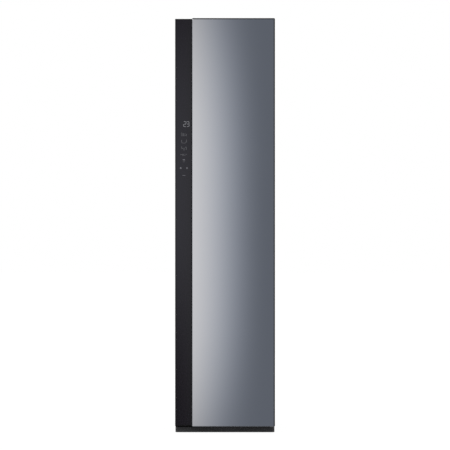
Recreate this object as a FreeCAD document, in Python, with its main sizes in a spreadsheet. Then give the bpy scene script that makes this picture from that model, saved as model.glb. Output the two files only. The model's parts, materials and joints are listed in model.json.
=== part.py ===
"""A slim clothes care steam cabinet, as the assembly that its maker puts together.

Units are millimetres. +Z is up, the front faces -Y, and the origin is on the floor under the cabinet's
middle. A mirror door on right-hand hinges closes a garment chamber with a shaking hanger bar. A heat pump, a
blower and a steam generator sit in a machine room under the chamber, behind two pull-out water tanks.
"""

import FreeCAD, Part
import math
import os
import re

import Sketcher
from FreeCAD import Rotation, Vector

# The driving dimensions. Each one is a cell of the sheet "dims" under the same name.
DIMS = {
    # envelope
    "width": 445, "depth": 585, "height": 1850,
    "wall_standoff": 10, "body_inset": 1, "fit_gap": 0.3,
    # door
    "door_bottom": 31.5, "door_body": 36, "glass_step": 20, "seal_gap": 8,
    "strip_width": 75.8, "strip_glass": 3, "strip_edge": 0.2, "strip_drop": 1.2,
    "mirror_glass": 4, "mirror_corner": 5, "grip_reach": 20, "grip_plate": 1.5,
    "trim_top": 4.5, "trim_side": 5, "trim_edge": 1.6, "trim_depth": 15,
    "case_wall": 3, "case_drop": 14, "lip": 5, "end_wall": 12,
    "display_in": 46, "display_width": 58, "display_height": 310, "display_mid": 1272, "display_play": 2,
    "board_thick": 1.6, "board_room": 9, "chip_height": 3, "key_radius": 6, "key_pitch": 32, "key_count": 6,
    "door_liner_thick": 2.5, "dike_height": 18, "dike_wall": 9, "dike_inset": 12,
    "gasket_width": 12, "gasket_lip": 5, "gasket_inset": 3, "gasket_base": 3.6, "gasket_corner": 4.6,
    # door hinge
    "hinge_in": 13, "hinge_back": 14.5, "pin_radius": 5, "pin_play": 0.05, "pin_length": 20,
    "bush_wall": 3, "hinge_plate": 3, "hinge_arm": 9, "hinge_reach": 70,
    # trouser press on the door
    "press_bottom": 640, "press_top": 1480, "press_margin": 9, "press_hinge_margin": 29,
    "press_board_thick": 6,
    "press_plate_thick": 12, "press_gap": 2, "press_knuckle": 6, "press_pin": 2.5, "press_lug": 24,
    "press_handle": 26, "press_lug_end": 67, "hook_width": 90, "hook_rise": 72, "hook_lip": 9,
    # cabinet shell
    "sheet": 1, "sheet_flange": 12, "roof_drop": 12, "cover_height": 8, "cover_wall": 2.5, "frame_depth": 18,
    "wall_space": 31.5, "rear_space": 26.5, "liner": 3, "liner_skirt": 15, "rib_end": 60,
    "louvre_width": 70, "louvre_height": 4, "louvre_pitch": 12, "louvre_count": 12, "louvre_rise": 40,
    "louvre_x": 49, "standoff_radius": 16, "standoff_in": 62, "standoff_drop": 70, "standoff_taper": 18,
    "screw_radius": 2, "screw_play": 0.2, "screw_head": 4.5, "screw_head_height": 2.5, "screw_length": 8,
    "screw_low": 73, "screw_high": 27, "screw_rows": 5, "hinge_screw_x": 2, "hinge_screw_y": 35,
    "hinge_screw_pitch": 24, "hinge_notch": 6, "gland_radius": 9, "gland_bore": 4.5, "gland_length": 24,
    "gland_inside": 17, "gland_collar": 4, "gland_collar_height": 3, "gland_nut": 3, "gland_nut_height": 5,
    "gland_x": -170, "gland_z": 62,
    # base
    "plinth_recess": 34.5, "plinth_top": 27, "plinth_clear": 3, "plinth_wall": 3, "plinth_corner": 14,
    "foot_radius": 20, "foot_height": 9, "foot_waist": 7.5, "foot_stud": 5, "foot_inset": 34,
    "base_bottom": 12, "base_wall": 3,
    "base_height": 28, "boss_wall": 8, "boss_height": 20,
    # garment chamber
    "chamber_floor": 345, "mechanism_space": 87, "chamber_sill": 2, "rib_height": 1.5, "rib_width": 14,
    "stud_radius": 6, "stud_length": 10, "stud_front_in": 90.5, "stud_rear_in": 85, "shelf_z": 560,
    "liner_rib_low": 60, "liner_rib_high": 120, "liner_rib_pitch": 130, "liner_panel": 60, "post_play": 3,
    "rim_radius": 3, "wire_radius": 2, "wire_count": 15, "shelf_gap": 3,
    "shelf_front_gap": 26, "shelf_back_gap": 16, "shelf_corner": 16, "wire_in": 1, "wire_weld": 0.8,
    "lamp_width": 130, "lamp_depth": 24,
    "lamp_height": 5, "lamp_corner": 8, "lamp_edge": 2, "lamp_in": 28.5,
    # water tanks
    "bay_bottom": 53, "tank_headroom": 5,
    "bay_depth": 132, "bay_wall": 3, "tank_play": 1.5, "tank_recess": 22,
    "tank_wall": 2.5, "tank_height": 214, "tank_lid": 4, "tank_corner": 12, "tank_grip_width": 90,
    "tank_grip_height": 34, "tank_grip_depth": 14, "cap_radius": 20, "cap_height": 3,
    # air intake and lint filter
    "filter_width": 196, "filter_depth": 26, "filter_in": 29.5, "filter_play": 1.5, "filter_frame": 7,
    "filter_mesh": 0.8, "filter_mesh_in": 1, "filter_rise": 6, "filter_tab": 60, "filter_tab_height": 14,
    "duct_wall": 2.5,
    # heat pump
    "duct_half": 150, "duct_bottom": 225, "duct_leg": 3, "leg_window": 20, "leg_sill": 30, "fin_thick": 1.2,
    "fin_pitch": 10, "coil_tube": 4.5, "coil_tube_rows": 4, "evaporator_depth": 48, "condenser_depth": 56,
    "coil_stub": 10,
    "intake_share": 0.11, "coil_in_share": 0.14, "coil_gap_share": 0.2, "coil_out_share": 0.18,
    "blower_radius": 60, "blower_wall": 2.5, "blower_depth": 88, "blower_inlet": 42, "impeller_radius": 51,
    "impeller_gap": 8, "impeller_width": 60, "impeller_disc": 3, "impeller_hub": 10,
    "impeller_hub_length": 24, "blade_count": 24, "blade_depth": 11, "blade_thick": 1.6,
    "shaft_radius": 4, "motor_radius": 32, "motor_length": 46, "motor_flange": 4, "motor_flange_edge": 8,
    "grille_lip": 8, "grille_height": 5, "slat_in": 3, "slat_pitch": 9, "slat_gap": 5, "slat_end": 1.6,
    "compressor_x": 90, "compressor_in": 90.2, "compressor_radius": 55, "compressor_bottom": 34,
    "compressor_top": 210, "compressor_shell": 8, "compressor_head": 24, "compressor_dome": 19,
    "grommet_radius": 11, "grommet_neck": 4.8, "grommet_cap": 7.7, "mount_circle": 66,
    "pipe_radius": 4, "pipe_bend": 16, "pipe_out": 26, "cold_share": 0.4525, "pipe_in": 18, "pipe_apart": 22,
    # steam and water
    "steam_x": -58, "steam_share": 0.237, "steam_length": 160, "steam_width": 100, "steam_height": 88,
    "steam_flange": 5, "steam_flange_z": 53, "steam_port_in": 30, "steam_port_back": 25, "steam_port": 8,
    "terminal_in": 20, "terminal_pitch": 24, "terminal_width": 8, "terminal_low": 14, "terminal_height": 12,
    "port_radius": 6, "port_nose": 5, "port_length": 14, "nozzle_x": -90, "nozzle_in": 61.9,
    "nozzle_radius": 12, "nozzle_flange": 18, "nozzle_top": 14.4, "nozzle_hole": 4, "nozzle_height": 17,
    "hose_radius": 7, "thin_hose": 4, "hose_bend": 21, "hose_room": 20, "pump_radius": 20, "pump_length": 46,
    "pump_foot": 16, "pump_x": 98, "pump_front_share": 0.232, "pump_rear_share": 0.682, "pump_z": 42,
    "pump_bend": 18, "box_gap": 5.2, "box_clear": 15, "box_share": 0.33, "box_depth": 128, "box_height": 185,
    "box_wall": 2.5, "board_part": 22, "board_part_height": 30, "board_part_front": 12, "board_part_low": 40,
    # shaking hanger
    "crank_radius": 15, "crank_pin": 5, "crank_slot_play": 1.0, "crank_slot_end": 4,
    "crank_pulley": 42, "motor_pulley": 14,
    "pulley_height": 12, "pulley_drop": 4, "pulley_spacing": 105, "pulley_play": 0.2, "belt_thick": 2.5,
    "belt_height": 9, "belt_in": 0.5, "plate_thick": 2,
    "plate_height": 51, "plate_half": 186, "plate_depth": 146, "rod_radius": 5, "rod_spacing": 55,
    "rod_height": 23, "rod_play": 0.05, "carriage_half": 136, "carriage_depth": 150, "carriage_thick": 6,
    "carriage_lift": 9, "bush_length": 30, "bush_block": 9, "post_x": 120, "post_size": 12, "bar_half": 142,
    "bar_depth": 14, "bar_height": 24, "bar_drop": 46, "notch_width": 9, "notch_depth": 7, "notch_pitch": 56,
    "shake_motor_radius": 36, "shake_motor_height": 30, "shake_travel": 15,
    # clothes hanger
    "hanger_half": 195, "hanger_thick": 9, "hanger_depth": 24, "hanger_drop": 105, "hook_wire": 2.2,
    "hook_radius": 19, "hook_neck": 34,
}

# Places that follow from the driving dimensions, as formulas in the same sheet.
PLACES = {
    "half_width": "width / 2",
    "front_y": "-depth / 2",
    "glass_back_y": "front_y + mirror_glass",
    "strip_y": "front_y + glass_step",
    "case_y": "strip_y + strip_glass",
    "door_back_y": "strip_y + door_body",
    "cabinet_y": "door_back_y + seal_gap",
    "frame_back_y": "cabinet_y + frame_depth",
    "back_y": "depth / 2 - wall_standoff",
    "mirror_left": "-half_width + strip_width",
    "carrier_x": "mirror_left + grip_reach",
    "strip_mid": "-half_width + display_in",
    "case_top": "height - case_drop",
    "hinge_x": "half_width - hinge_in",
    "hinge_y": "door_back_y - hinge_back",
    "body_x": "half_width - body_inset",
    "inside_x": "body_x - sheet - fit_gap",
    "return_x": "inside_x - sheet_flange",
    "chamber_x": "body_x - wall_space",
    "chamber_back_y": "back_y - sheet - rear_space",
    "chamber_mid_y": "(cabinet_y + chamber_back_y) / 2",
    "roof": "height - roof_drop",
    "cover_top": "roof + cover_height",
    "ceiling": "roof - mechanism_space - liner",
    "frame_bottom": "plinth_top + hinge_plate + fit_gap",
    "plinth_y": "front_y + plinth_recess",
    "base_floor": "base_bottom + base_wall",
    "base_top": "base_bottom + base_height",
    "base_front_y": "frame_back_y + 2 * fit_gap + sheet",
    "base_back_y": "back_y - 2 * sheet - fit_gap",
    "bay_back_y": "frame_back_y + bay_depth",
    "bay_x": "chamber_x + 2 * bay_wall",
    "tank_y": "cabinet_y + tank_recess",
    "tank_back_y": "bay_back_y - bay_wall - tank_play",
    "tank_floor": "bay_bottom + bay_wall",
    "tank_top": "tank_floor + tank_height",
    "supply_port_z": "tank_floor + port_length + port_radius",
    "drain_port_z": "tank_top - 5 * port_length",
    "floor_under": "chamber_floor - liner",
    "bay_top": "tank_top + tank_lid + cap_height + tank_headroom + bay_wall",
    "filter_y": "frame_back_y + filter_in",
    "coil_depths": "evaporator_depth + condenser_depth",
    "spare_depth": "back_y - sheet - bay_back_y - coil_depths - blower_depth - motor_length",
    "duct_front_y": "bay_back_y + intake_share * spare_depth",
    "evaporator_y": "duct_front_y + coil_in_share * spare_depth",
    "condenser_y": "evaporator_y + evaporator_depth + coil_gap_share * spare_depth",
    "duct_back_y": "condenser_y + condenser_depth + coil_out_share * spare_depth",
    "duct_length": "duct_back_y - duct_front_y",
    "duct_top": "floor_under - fit_gap",
    "coil_z": "duct_bottom + duct_wall + fit_gap",
    "coil_top": "duct_top - duct_wall - fit_gap",
    "coil_x": "duct_half - duct_leg - fit_gap",
    "blower_z": "duct_top - blower_radius + blower_wall",
    "blower_y": "duct_back_y + fit_gap",
    "blower_back_y": "blower_y + blower_depth",
    "impeller_y": "blower_y + blower_wall + impeller_gap",
    "nozzle_y": "blower_y + nozzle_in",
    "pipe_side": "duct_half + pipe_out",
    "cold_side": "pipe_side + cold_share * (inside_x - pipe_side)",
    "compressor_y": "base_back_y - compressor_in",
    "pump_room": "compressor_y - mount_circle - grommet_radius - bay_back_y",
    "pump_front": "bay_back_y + pump_front_share * pump_room",
    "pump_rear": "bay_back_y + pump_rear_share * pump_room",
    "spare_floor": "base_back_y - bay_back_y - port_length - steam_width - steam_flange - box_depth",
    "steam_y": "bay_back_y + steam_share * spare_floor + port_length + steam_width / 2",
    "box_front": "steam_y + steam_width / 2 + steam_flange + box_share * spare_floor",
    "box_left": "-(inside_x - base_wall - box_gap)",
    "box_width": "nozzle_x - hose_radius - box_clear - box_left",
    "stud_front": "frame_back_y + stud_front_in",
    "stud_rear": "chamber_back_y - stud_rear_in",
    "lamp_y": "frame_back_y + lamp_in",
    "shelf_x": "chamber_x - shelf_gap - rim_radius",
    "shelf_pitch": "2 * shelf_x / (wire_count + 1)",
    "deck": "ceiling + liner",
    "plate_z": "deck + plate_height",
    "rod_z": "deck + rod_height",
    "carriage_z": "deck + carriage_lift",
    "pulley_z": "plate_z - pulley_height - pulley_drop",
    "bar_z": "ceiling - bar_drop",
    "notch_z": "bar_z + bar_height / 2 - notch_depth",
    "hook_z": "notch_z + fit_gap - sqrt((hook_radius - hook_wire) ^ 2 - (bar_depth / 2) ^ 2)",
    "press_hinge_y": "door_back_y + press_board_thick + press_gap + press_knuckle",
    "press_y": "press_hinge_y - press_knuckle",
    "dike_x": "chamber_x - dike_inset - dike_wall",
    "press_left": "-(dike_x - press_margin)",
    "press_hinge_x": "dike_x - press_hinge_margin",
    "gasket_x": "chamber_x + gasket_inset",
    "gasket_bottom": "chamber_floor + chamber_sill - gasket_inset",
    "gasket_top": "ceiling - chamber_sill + gasket_inset",
}

doc = FreeCAD.newDocument("steam_cabinet")
sheet = doc.addObject("Spreadsheet::Sheet", "dims")
row = 0
for alias, value in DIMS.items():
    row += 1
    sheet.set(f"A{row}", alias.replace("_", " "))
    sheet.set(f"B{row}", str(value))
    sheet.setAlias(f"B{row}", alias)
for alias, formula in PLACES.items():
    row += 1
    sheet.set(f"A{row}", alias.replace("_", " "))
    sheet.set(f"B{row}", "=" + formula)
    sheet.setAlias(f"B{row}", alias)
doc.recompute()
scratch = doc.addObject("Spreadsheet::Sheet", "scratch")
NAMES = set(DIMS) | set(PLACES)
NODES = {}


def cell(text):
    """The text as a FreeCAD expression, with the sheet's name before each of its cells."""
    return re.sub(r"[a-z]\w*", lambda word: "dims." + word[0] if word[0] in NAMES else word[0], str(text))


def number(text):
    """What an expression comes to, worked out in a cell that nothing else reads."""
    scratch.set("A1", "=" + cell(text))
    scratch.recompute()
    return float(scratch.get("A1"))


def bind(thing, **sizes):
    """Binds properties to expressions. A dot in a property's path is written as two underscores."""
    for name, text in sizes.items():
        thing.setExpression(name.replace("__", "."), cell(text))


def place(thing, x=0, y=0, z=0, turn=None):
    """Puts a thing at x, y, z, which are expressions, turned by a rotation."""
    if turn is not None:
        thing.Placement = FreeCAD.Placement(Vector(), turn)
    bind(thing, Placement__Base__x=x, Placement__Base__y=y, Placement__Base__z=z)
    return thing


def node(label, thing):
    """Names a finished sub-part, so that it is written to a file."""
    thing.Label = label
    NODES[label] = thing
    return thing


# Turns that lay a shape's own Z axis along +X, +Y or -Y.
ALONG_X = Rotation(Vector(0, 1, 0), 90)
ALONG_Y = Rotation(Vector(1, 0, 0), -90)
ALONG_BACK = Rotation(Vector(1, 0, 0), 90)


# Outlines for sketches. Each function returns another, which draws the outline in a sketch.
def poly(*points):
    """A closed outline through points that are pairs of expressions."""

    def draw(sketch):
        first = sketch.GeometryCount
        at = [Vector(number(x), number(y), 0) for x, y in points]
        for n, start in enumerate(at):
            sketch.addGeometry(Part.LineSegment(start, at[(n + 1) % len(at)]), False)
        for n, (x, y) in enumerate(points):
            after = first + (n + 1) % len(points)
            sketch.addConstraint(Sketcher.Constraint("Coincident", first + n, 2, after, 1))
            pin_point(sketch, first + n, 1, x, y)

    return draw


def rect(left, bottom, right, top):
    """A rectangle between two corners."""
    return poly((left, bottom), (right, bottom), (right, top), (left, top))


def pin_point(sketch, geometry, end, x, y):
    """Fixes one point of a sketch at two expressions."""
    for kind, text in (("DistanceX", x), ("DistanceY", y)):
        limit = Sketcher.Constraint(kind, -1, 1, geometry, end, number(text))
        sketch.setExpression(f"Constraints[{sketch.addConstraint(limit)}]", cell(text))


def arc_between(sketch, start, end, centre, radius, start_angle):
    """A quarter arc from line `start`'s end to line `end`'s start."""
    at = Vector(number(centre[0]), number(centre[1]), 0)
    circle = Part.Circle(at, Vector(0, 0, 1), number(radius))
    arc = sketch.addGeometry(Part.ArcOfCircle(circle, start_angle, start_angle + math.pi / 2), False)
    sketch.addConstraint(Sketcher.Constraint("Coincident", start, 2, arc, 1))
    sketch.addConstraint(Sketcher.Constraint("Coincident", arc, 2, end, 1))
    limit = sketch.addConstraint(Sketcher.Constraint("Radius", arc, number(radius)))
    sketch.setExpression(f"Constraints[{limit}]", cell(radius))


def rounded(left, bottom, right, top, radius):
    """A rectangle with round corners."""
    low_x, high_x = f"({left}) + ({radius})", f"({right}) - ({radius})"
    low_y, high_y = f"({bottom}) + ({radius})", f"({top}) - ({radius})"
    sides = [
        ((low_x, bottom), (high_x, bottom)),
        ((right, low_y), (right, high_y)),
        ((high_x, top), (low_x, top)),
        ((left, high_y), (left, low_y)),
    ]
    centres = [(high_x, low_y), (high_x, high_y), (low_x, high_y), (low_x, low_y)]

    def draw(sketch):
        first = sketch.GeometryCount
        for start, end in sides:
            ends = [Vector(number(x), number(y), 0) for x, y in (start, end)]
            sketch.addGeometry(Part.LineSegment(*ends), False)
        for n, (start, end) in enumerate(sides):
            pin_point(sketch, first + n, 1, *start)
            pin_point(sketch, first + n, 2, *end)
        for n, centre in enumerate(centres):
            arc_between(sketch, first + n, first + (n + 1) % 4, centre, radius, (n - 1) * math.pi / 2)

    return draw


def disc(x, y, radius):
    """A circle."""

    def draw(sketch):
        circle = Part.Circle(Vector(number(x), number(y), 0), Vector(0, 0, 1), number(radius))
        geometry = sketch.addGeometry(circle, False)
        pin_point(sketch, geometry, 3, x, y)
        limit = sketch.addConstraint(Sketcher.Constraint("Radius", geometry, number(radius)))
        sketch.setExpression(f"Constraints[{limit}]", cell(radius))

    return draw


def cradle(x, y, radius, top):
    """A half round below the centre with straight sides up to `top`."""
    left, right = f"({x}) - ({radius})", f"({x}) + ({radius})"
    corners = [(right, y), (right, top), (left, top), (left, y)]

    def draw(sketch):
        first = sketch.GeometryCount
        at = [Vector(number(a), number(b), 0) for a, b in corners]
        for n in range(3):
            sketch.addGeometry(Part.LineSegment(at[n], at[n + 1]), False)
            pin_point(sketch, first + n, 1, *corners[n])
        pin_point(sketch, first + 2, 2, *corners[3])
        for n in range(2):
            sketch.addConstraint(Sketcher.Constraint("Coincident", first + n, 2, first + n + 1, 1))
        circle = Part.Circle(Vector(number(x), number(y), 0), Vector(0, 0, 1), number(radius))
        arc = sketch.addGeometry(Part.ArcOfCircle(circle, math.pi, 2 * math.pi), False)
        sketch.addConstraint(Sketcher.Constraint("Coincident", first + 2, 2, arc, 1))
        sketch.addConstraint(Sketcher.Constraint("Coincident", arc, 2, first, 1))
        pin_y = sketch.addConstraint(Sketcher.Constraint("DistanceY", -1, 1, arc, 3, number(y)))
        sketch.setExpression(f"Constraints[{pin_y}]", cell(y))

    return draw


class Piece:
    """One PartDesign body. Its sketches lie on its own origin planes: "XY", "XZ" and "YZ" hold the row's own
    axes in that order, and `start` and `length` run along the third axis, always towards its plus end."""

    def __init__(self, label, whole=True):
        """`whole` is False for a piece that group() puts into a node with others."""
        self.body = doc.addObject("PartDesign::Body", label)
        self.body.AllowCompound = True
        self.planes = {f.Role[:2]: f for f in self.body.Origin.OriginFeatures if f.Role.endswith("Plane")}
        self.axes = {f.Role[:1]: f for f in self.body.Origin.OriginFeatures if f.Role.endswith("Axis")}
        if whole:
            node(label, self.body)

    def sketch(self, plane, start, outlines):
        sketch = self.body.newObject("Sketcher::SketchObject", "outline")
        sketch.AttachmentSupport = (self.planes[plane], [""])
        sketch.MapMode = "FlatFace"
        sign = "-" if plane == "XZ" else ""
        bind(sketch, AttachmentOffset__Base__z=f"{sign}({start})")
        for draw in outlines:
            draw(sketch)
        return sketch

    def pad(self, plane, start, length, *outlines, taper=None):
        pad = self.body.newObject("PartDesign::Pad", "pad")
        pad.Profile = self.sketch(plane, start, outlines)
        pad.Reversed = plane == "XZ"
        bind(pad, Length=length)
        if taper is not None:
            bind(pad, TaperAngle=taper)
        return pad

    def pocket(self, plane, start, length, *outlines):
        pocket = self.body.newObject("PartDesign::Pocket", "pocket")
        pocket.Profile = self.sketch(plane, start, outlines)
        pocket.Reversed = plane != "XZ"
        bind(pocket, Length=length)
        return pocket

    def revolve(self, plane, axis, *outlines):
        turned = self.body.newObject("PartDesign::Revolution", "revolution")
        sketch = self.sketch(plane, 0, outlines)
        turned.Profile = sketch
        turned.ReferenceAxis = (sketch, [axis])
        turned.Angle = 360
        return turned

    def repeat(self, feature, axis, pitch, count):
        pattern = self.body.newObject("PartDesign::LinearPattern", "row")
        pattern.Originals = [feature]
        pattern.Direction = (self.axes[axis], [""])
        pattern.Mode = "Spacing"
        bind(pattern, Offset=pitch, Occurrences=count)
        self.body.Tip = pattern
        return pattern

    def ring(self, feature, axis, count):
        pattern = self.body.newObject("PartDesign::PolarPattern", "ring")
        pattern.Originals = [feature]
        pattern.Axis = (self.axes[axis], [""])
        pattern.Angle = 360
        bind(pattern, Occurrences=count)
        self.body.Tip = pattern
        return pattern

    def fillet(self, radius, wanted):
        """Rounds the edges of the shape so far for which wanted(edge) is true."""
        doc.recompute()
        base = self.body.Tip
        edges = [f"Edge{n}" for n, edge in enumerate(base.Shape.Edges, 1) if wanted(edge)]
        if not edges:
            raise ValueError(f"{self.body.Label} has no such edges to round")
        fillet = self.body.newObject("PartDesign::Fillet", "fillet")
        fillet.Base = (base, edges)
        bind(fillet, Radius=radius)
        return fillet


def block(x, y, z, long, wide, tall):
    """A box from its lowest corner."""
    box = doc.addObject("Part::Box", "block")
    bind(box, Length=long, Width=wide, Height=tall)
    return place(box, x, y, z)


def rod(x, y, z, radius, length, turn=None):
    """A cylinder from the centre of its first end, along +Z unless it is turned."""
    cylinder = doc.addObject("Part::Cylinder", "rod")
    bind(cylinder, Radius=radius, Height=length)
    return place(cylinder, x, y, z, turn)


def fuse(*things):
    joined = doc.addObject("Part::MultiFuse", "joined")
    joined.Shapes = list(things)
    return joined


def cut(base, *tools):
    less = doc.addObject("Part::Cut", "cut")
    less.Base = base
    less.Tool = tools[0] if len(tools) == 1 else fuse(*tools)
    return less


def group(label, *things):
    """Separate solids that share one node."""
    together = doc.addObject("Part::Compound", label)
    together.Links = list(things)
    return node(label, together)


def vertical(edge):
    """True of an edge that runs straight up."""
    box = edge.BoundBox
    return box.ZLength > 1e-6 and box.XLength < 1e-6 and box.YLength < 1e-6


# ---------------------------------------------------------------- base and cabinet shell
def make_plinth():
    """A moulded skirt under the door, open at the back and below."""
    plinth = Piece("plinth")
    plinth.pad("XY", "plinth_clear", "plinth_top - plinth_clear",
               rect("-body_x", "plinth_y", "body_x", "cabinet_y"))
    low_y = number("plinth_y")
    plinth.fillet("plinth_corner", lambda edge: vertical(edge) and abs(edge.BoundBox.YMin - low_y) < 1e-6)
    plinth.pad("XY", "plinth_clear", "plinth_top - plinth_clear",
               rect("-inside_x", "cabinet_y", "inside_x", "frame_back_y"))
    plinth.pad("XY", "plinth_clear", "plinth_top - plinth_clear",
               rect("-return_x", "frame_back_y", "return_x", "base_front_y"))
    plinth.pocket("XY", "plinth_clear", "plinth_top - plinth_clear - plinth_wall",
                  rounded("-return_x + plinth_wall", "plinth_y + plinth_wall", "return_x - plinth_wall",
                          "base_front_y + plinth_corner", "plinth_corner - plinth_wall"))


def foot_places():
    """The four feet: left and right, front and back."""
    for x in ("-(inside_x - foot_inset)", "inside_x - foot_inset"):
        for y in ("base_front_y + foot_inset", "base_back_y - foot_inset"):
            yield x, y


def make_base():
    """A steel tray that carries the machine room, on four screw feet."""
    pan = Piece("base_pan")
    edge = ("-inside_x", "base_front_y", "inside_x", "base_back_y")
    pan.pad("XY", "base_bottom", "base_height", rect(*edge))
    pan.pocket("XY", "base_floor", "base_height - base_wall",
               rect("-inside_x + base_wall", "base_front_y + base_wall", "inside_x - base_wall",
                    "base_back_y - base_wall"))
    bosses = [disc(x, y, "foot_stud + boss_wall") for x, y in foot_places()]
    pan.pad("XY", "base_bottom", "boss_height", *bosses)
    holes = [disc(x, y, "foot_stud + pin_play") for x, y in foot_places()]
    pan.pocket("XY", "base_bottom", "boss_height", *holes)
    feet = []
    for x, y in foot_places():
        pad = rod(x, y, 0, "foot_radius", "foot_height")
        waist = rod(x, y, "foot_height", "foot_waist", "base_bottom - foot_height")
        stud = rod(x, y, "foot_height", "foot_stud", "base_bottom - foot_height + boss_height")
        feet.append(fuse(pad, waist, stud))
    group("levelling_feet", *feet)


def screw_places():
    """The screws down each side of the back panel, as x and z."""
    spread = "(roof - base_bottom - screw_low - screw_high)"
    for x in ("-(body_x - sheet_flange / 2 - sheet)", "body_x - sheet_flange / 2 - sheet"):
        for n in range(round(number("screw_rows"))):
            yield x, f"base_bottom + screw_low + {spread} * {n} / (screw_rows - 1)"


def make_side_panel(label, side):
    """A folded sheet-steel side: a flat skin with a return at the front, the back and the top."""
    outer, skin = f"{side} * body_x", f"{side} * (body_x - sheet)"
    inner = f"{side} * (body_x - sheet - sheet_flange)"
    front, behind = "frame_back_y + fit_gap", "back_y - sheet"
    panel = Piece(label)
    panel.pad("XY", "base_bottom", "roof - base_bottom", poly(
        (outer, "cabinet_y"), (outer, behind), (inner, behind), (inner, f"{behind} - sheet"),
        (skin, f"{behind} - sheet"), (skin, f"{front} + sheet"), (inner, f"{front} + sheet"),
        (inner, front), (skin, front), (skin, "cabinet_y")))
    low, high = (skin, inner) if side < 0 else (inner, skin)
    panel.pad("XY", "roof - sheet", "sheet", rect(low, front, high, behind))
    panel.pocket("XZ", f"{behind} - 2 * sheet", "2 * sheet",
                 *[disc(x, z, "screw_radius + screw_play") for x, z in screw_places()
                   if x.startswith("-") == (side < 0)])


def make_back_panel():
    """The rear sheet: louvres by the machine room, pressed standoffs and stiffening ribs."""
    panel = Piece("back_panel")
    panel.pad("XZ", "back_y - sheet", "sheet", rect("-body_x", "base_bottom", "body_x", "roof"))
    panel.pocket("XZ", "back_y - sheet", "sheet", disc("gland_x", "gland_z", "gland_radius"),
                 *[disc(x, z, "screw_radius + screw_play") for x, z in screw_places()])
    ribs = [rect(f"{x} - rib_width", "chamber_floor + rib_end", f"{x} + rib_width", "roof - rib_end")
            for x in ("-body_x / 2", "body_x / 2")]
    panel.pad("XZ", "back_y", "rib_height", *ribs)
    spots = [disc(f"{side} * (body_x - standoff_in)", z, "standoff_radius")
             for side in (-1, 1) for z in ("chamber_floor", "roof - standoff_drop")]
    panel.pad("XZ", "back_y", "wall_standoff", *spots, taper="-standoff_taper")
    slots = [rect(f"{x} - louvre_width / 2", "base_top + louvre_rise", f"{x} + louvre_width / 2",
                  "base_top + louvre_rise + louvre_height") for x in ("-louvre_x", "louvre_x")]
    louvres = panel.pocket("XZ", "back_y - sheet", "sheet", *slots)
    panel.repeat(louvres, "Z", "louvre_pitch", "louvre_count")


def make_top_cover():
    """A shallow moulded lid with a notch over the hinge plate."""
    cover = Piece("top_cover")
    cover.pad("XY", "roof", "cover_height", rect("-body_x", "cabinet_y", "body_x", "back_y"))
    high = number("cover_top")
    cover.fillet("cover_wall", lambda edge: edge.BoundBox.ZMin > high - 1e-6)
    cover.pocket("XY", "roof", "cover_height - cover_wall",
                 rect("-body_x + cover_wall", "cabinet_y + cover_wall", "body_x - cover_wall",
                      "back_y - cover_wall"))
    cover.pocket("XY", "roof", "hinge_plate + screw_head_height",
                 rect("hinge_x - hinge_arm - hinge_notch", "cabinet_y", "inside_x",
                      "cabinet_y + 2 * cover_wall"))


def hinge_screws():
    """Two screws that hold the upper hinge plate."""
    return [("hinge_x + hinge_screw_x", f"hinge_y + hinge_screw_y + {n} * hinge_screw_pitch")
            for n in range(2)]


def make_front_frame():
    """The frame round the chamber's mouth and the tank bay's mouth: two posts, with three rails between them
    that carry the chamber mouth's round corners."""
    corner = "rib_width / 2"
    low_edge, high_edge = "chamber_floor + chamber_sill", "ceiling - chamber_sill"
    mouth = rounded("-chamber_x", low_edge, "chamber_x", high_edge, corner)
    tank_mouth = rounded("-chamber_x - bay_wall", "bay_bottom + bay_wall", "chamber_x + bay_wall",
                         "bay_top - bay_wall", "tank_play")
    bars = []
    for left, low, right, high, hole in (
        ("-inside_x", "frame_bottom", "-chamber_x", "roof - fit_gap", tank_mouth),
        ("chamber_x", "frame_bottom", "inside_x", "roof - fit_gap", tank_mouth),
        ("-chamber_x", f"{high_edge} - {corner}", "chamber_x", "roof - fit_gap", mouth),
        ("-chamber_x", "bay_top - bay_wall", "chamber_x", f"{low_edge} + {corner}", mouth),
        ("-chamber_x", "frame_bottom", "chamber_x", "bay_bottom + bay_wall", None),
    ):
        bar = Piece("frame_bar", whole=False)
        bar.pad("XZ", "cabinet_y", "frame_depth", rect(left, low, right, high))
        if hole:
            bar.pocket("XZ", "cabinet_y", "frame_depth", hole)
        bars.append(bar.body)
    group("front_frame", *bars)


def make_hinges():
    """Steel plates with a pin each: one over the door's case, one under it. The upper plate reaches back over
    the roof flange of the right-hand side panel."""
    for label, plate_z, pin_z, back in (
        ("hinge_top", "roof", "roof - pin_length", "hinge_y + hinge_reach"),
        ("hinge_bottom", "plinth_top", "plinth_top + hinge_plate", "frame_back_y"),
    ):
        hinge = Piece(label)
        hinge.pad("XY", plate_z, "hinge_plate",
                  rect("hinge_x - hinge_arm", "hinge_y", "body_x - cover_wall - fit_gap", back))
        hinge.pad("XY", plate_z, "hinge_plate", disc("hinge_x", "hinge_y", "hinge_arm"))
        hinge.pad("XY", pin_z, "pin_length", disc("hinge_x", "hinge_y", "pin_radius"))
        if label == "hinge_top":
            hinge.pocket("XY", plate_z, "hinge_plate",
                         *[disc(x, y, "screw_radius + screw_play") for x, y in hinge_screws()])


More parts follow.
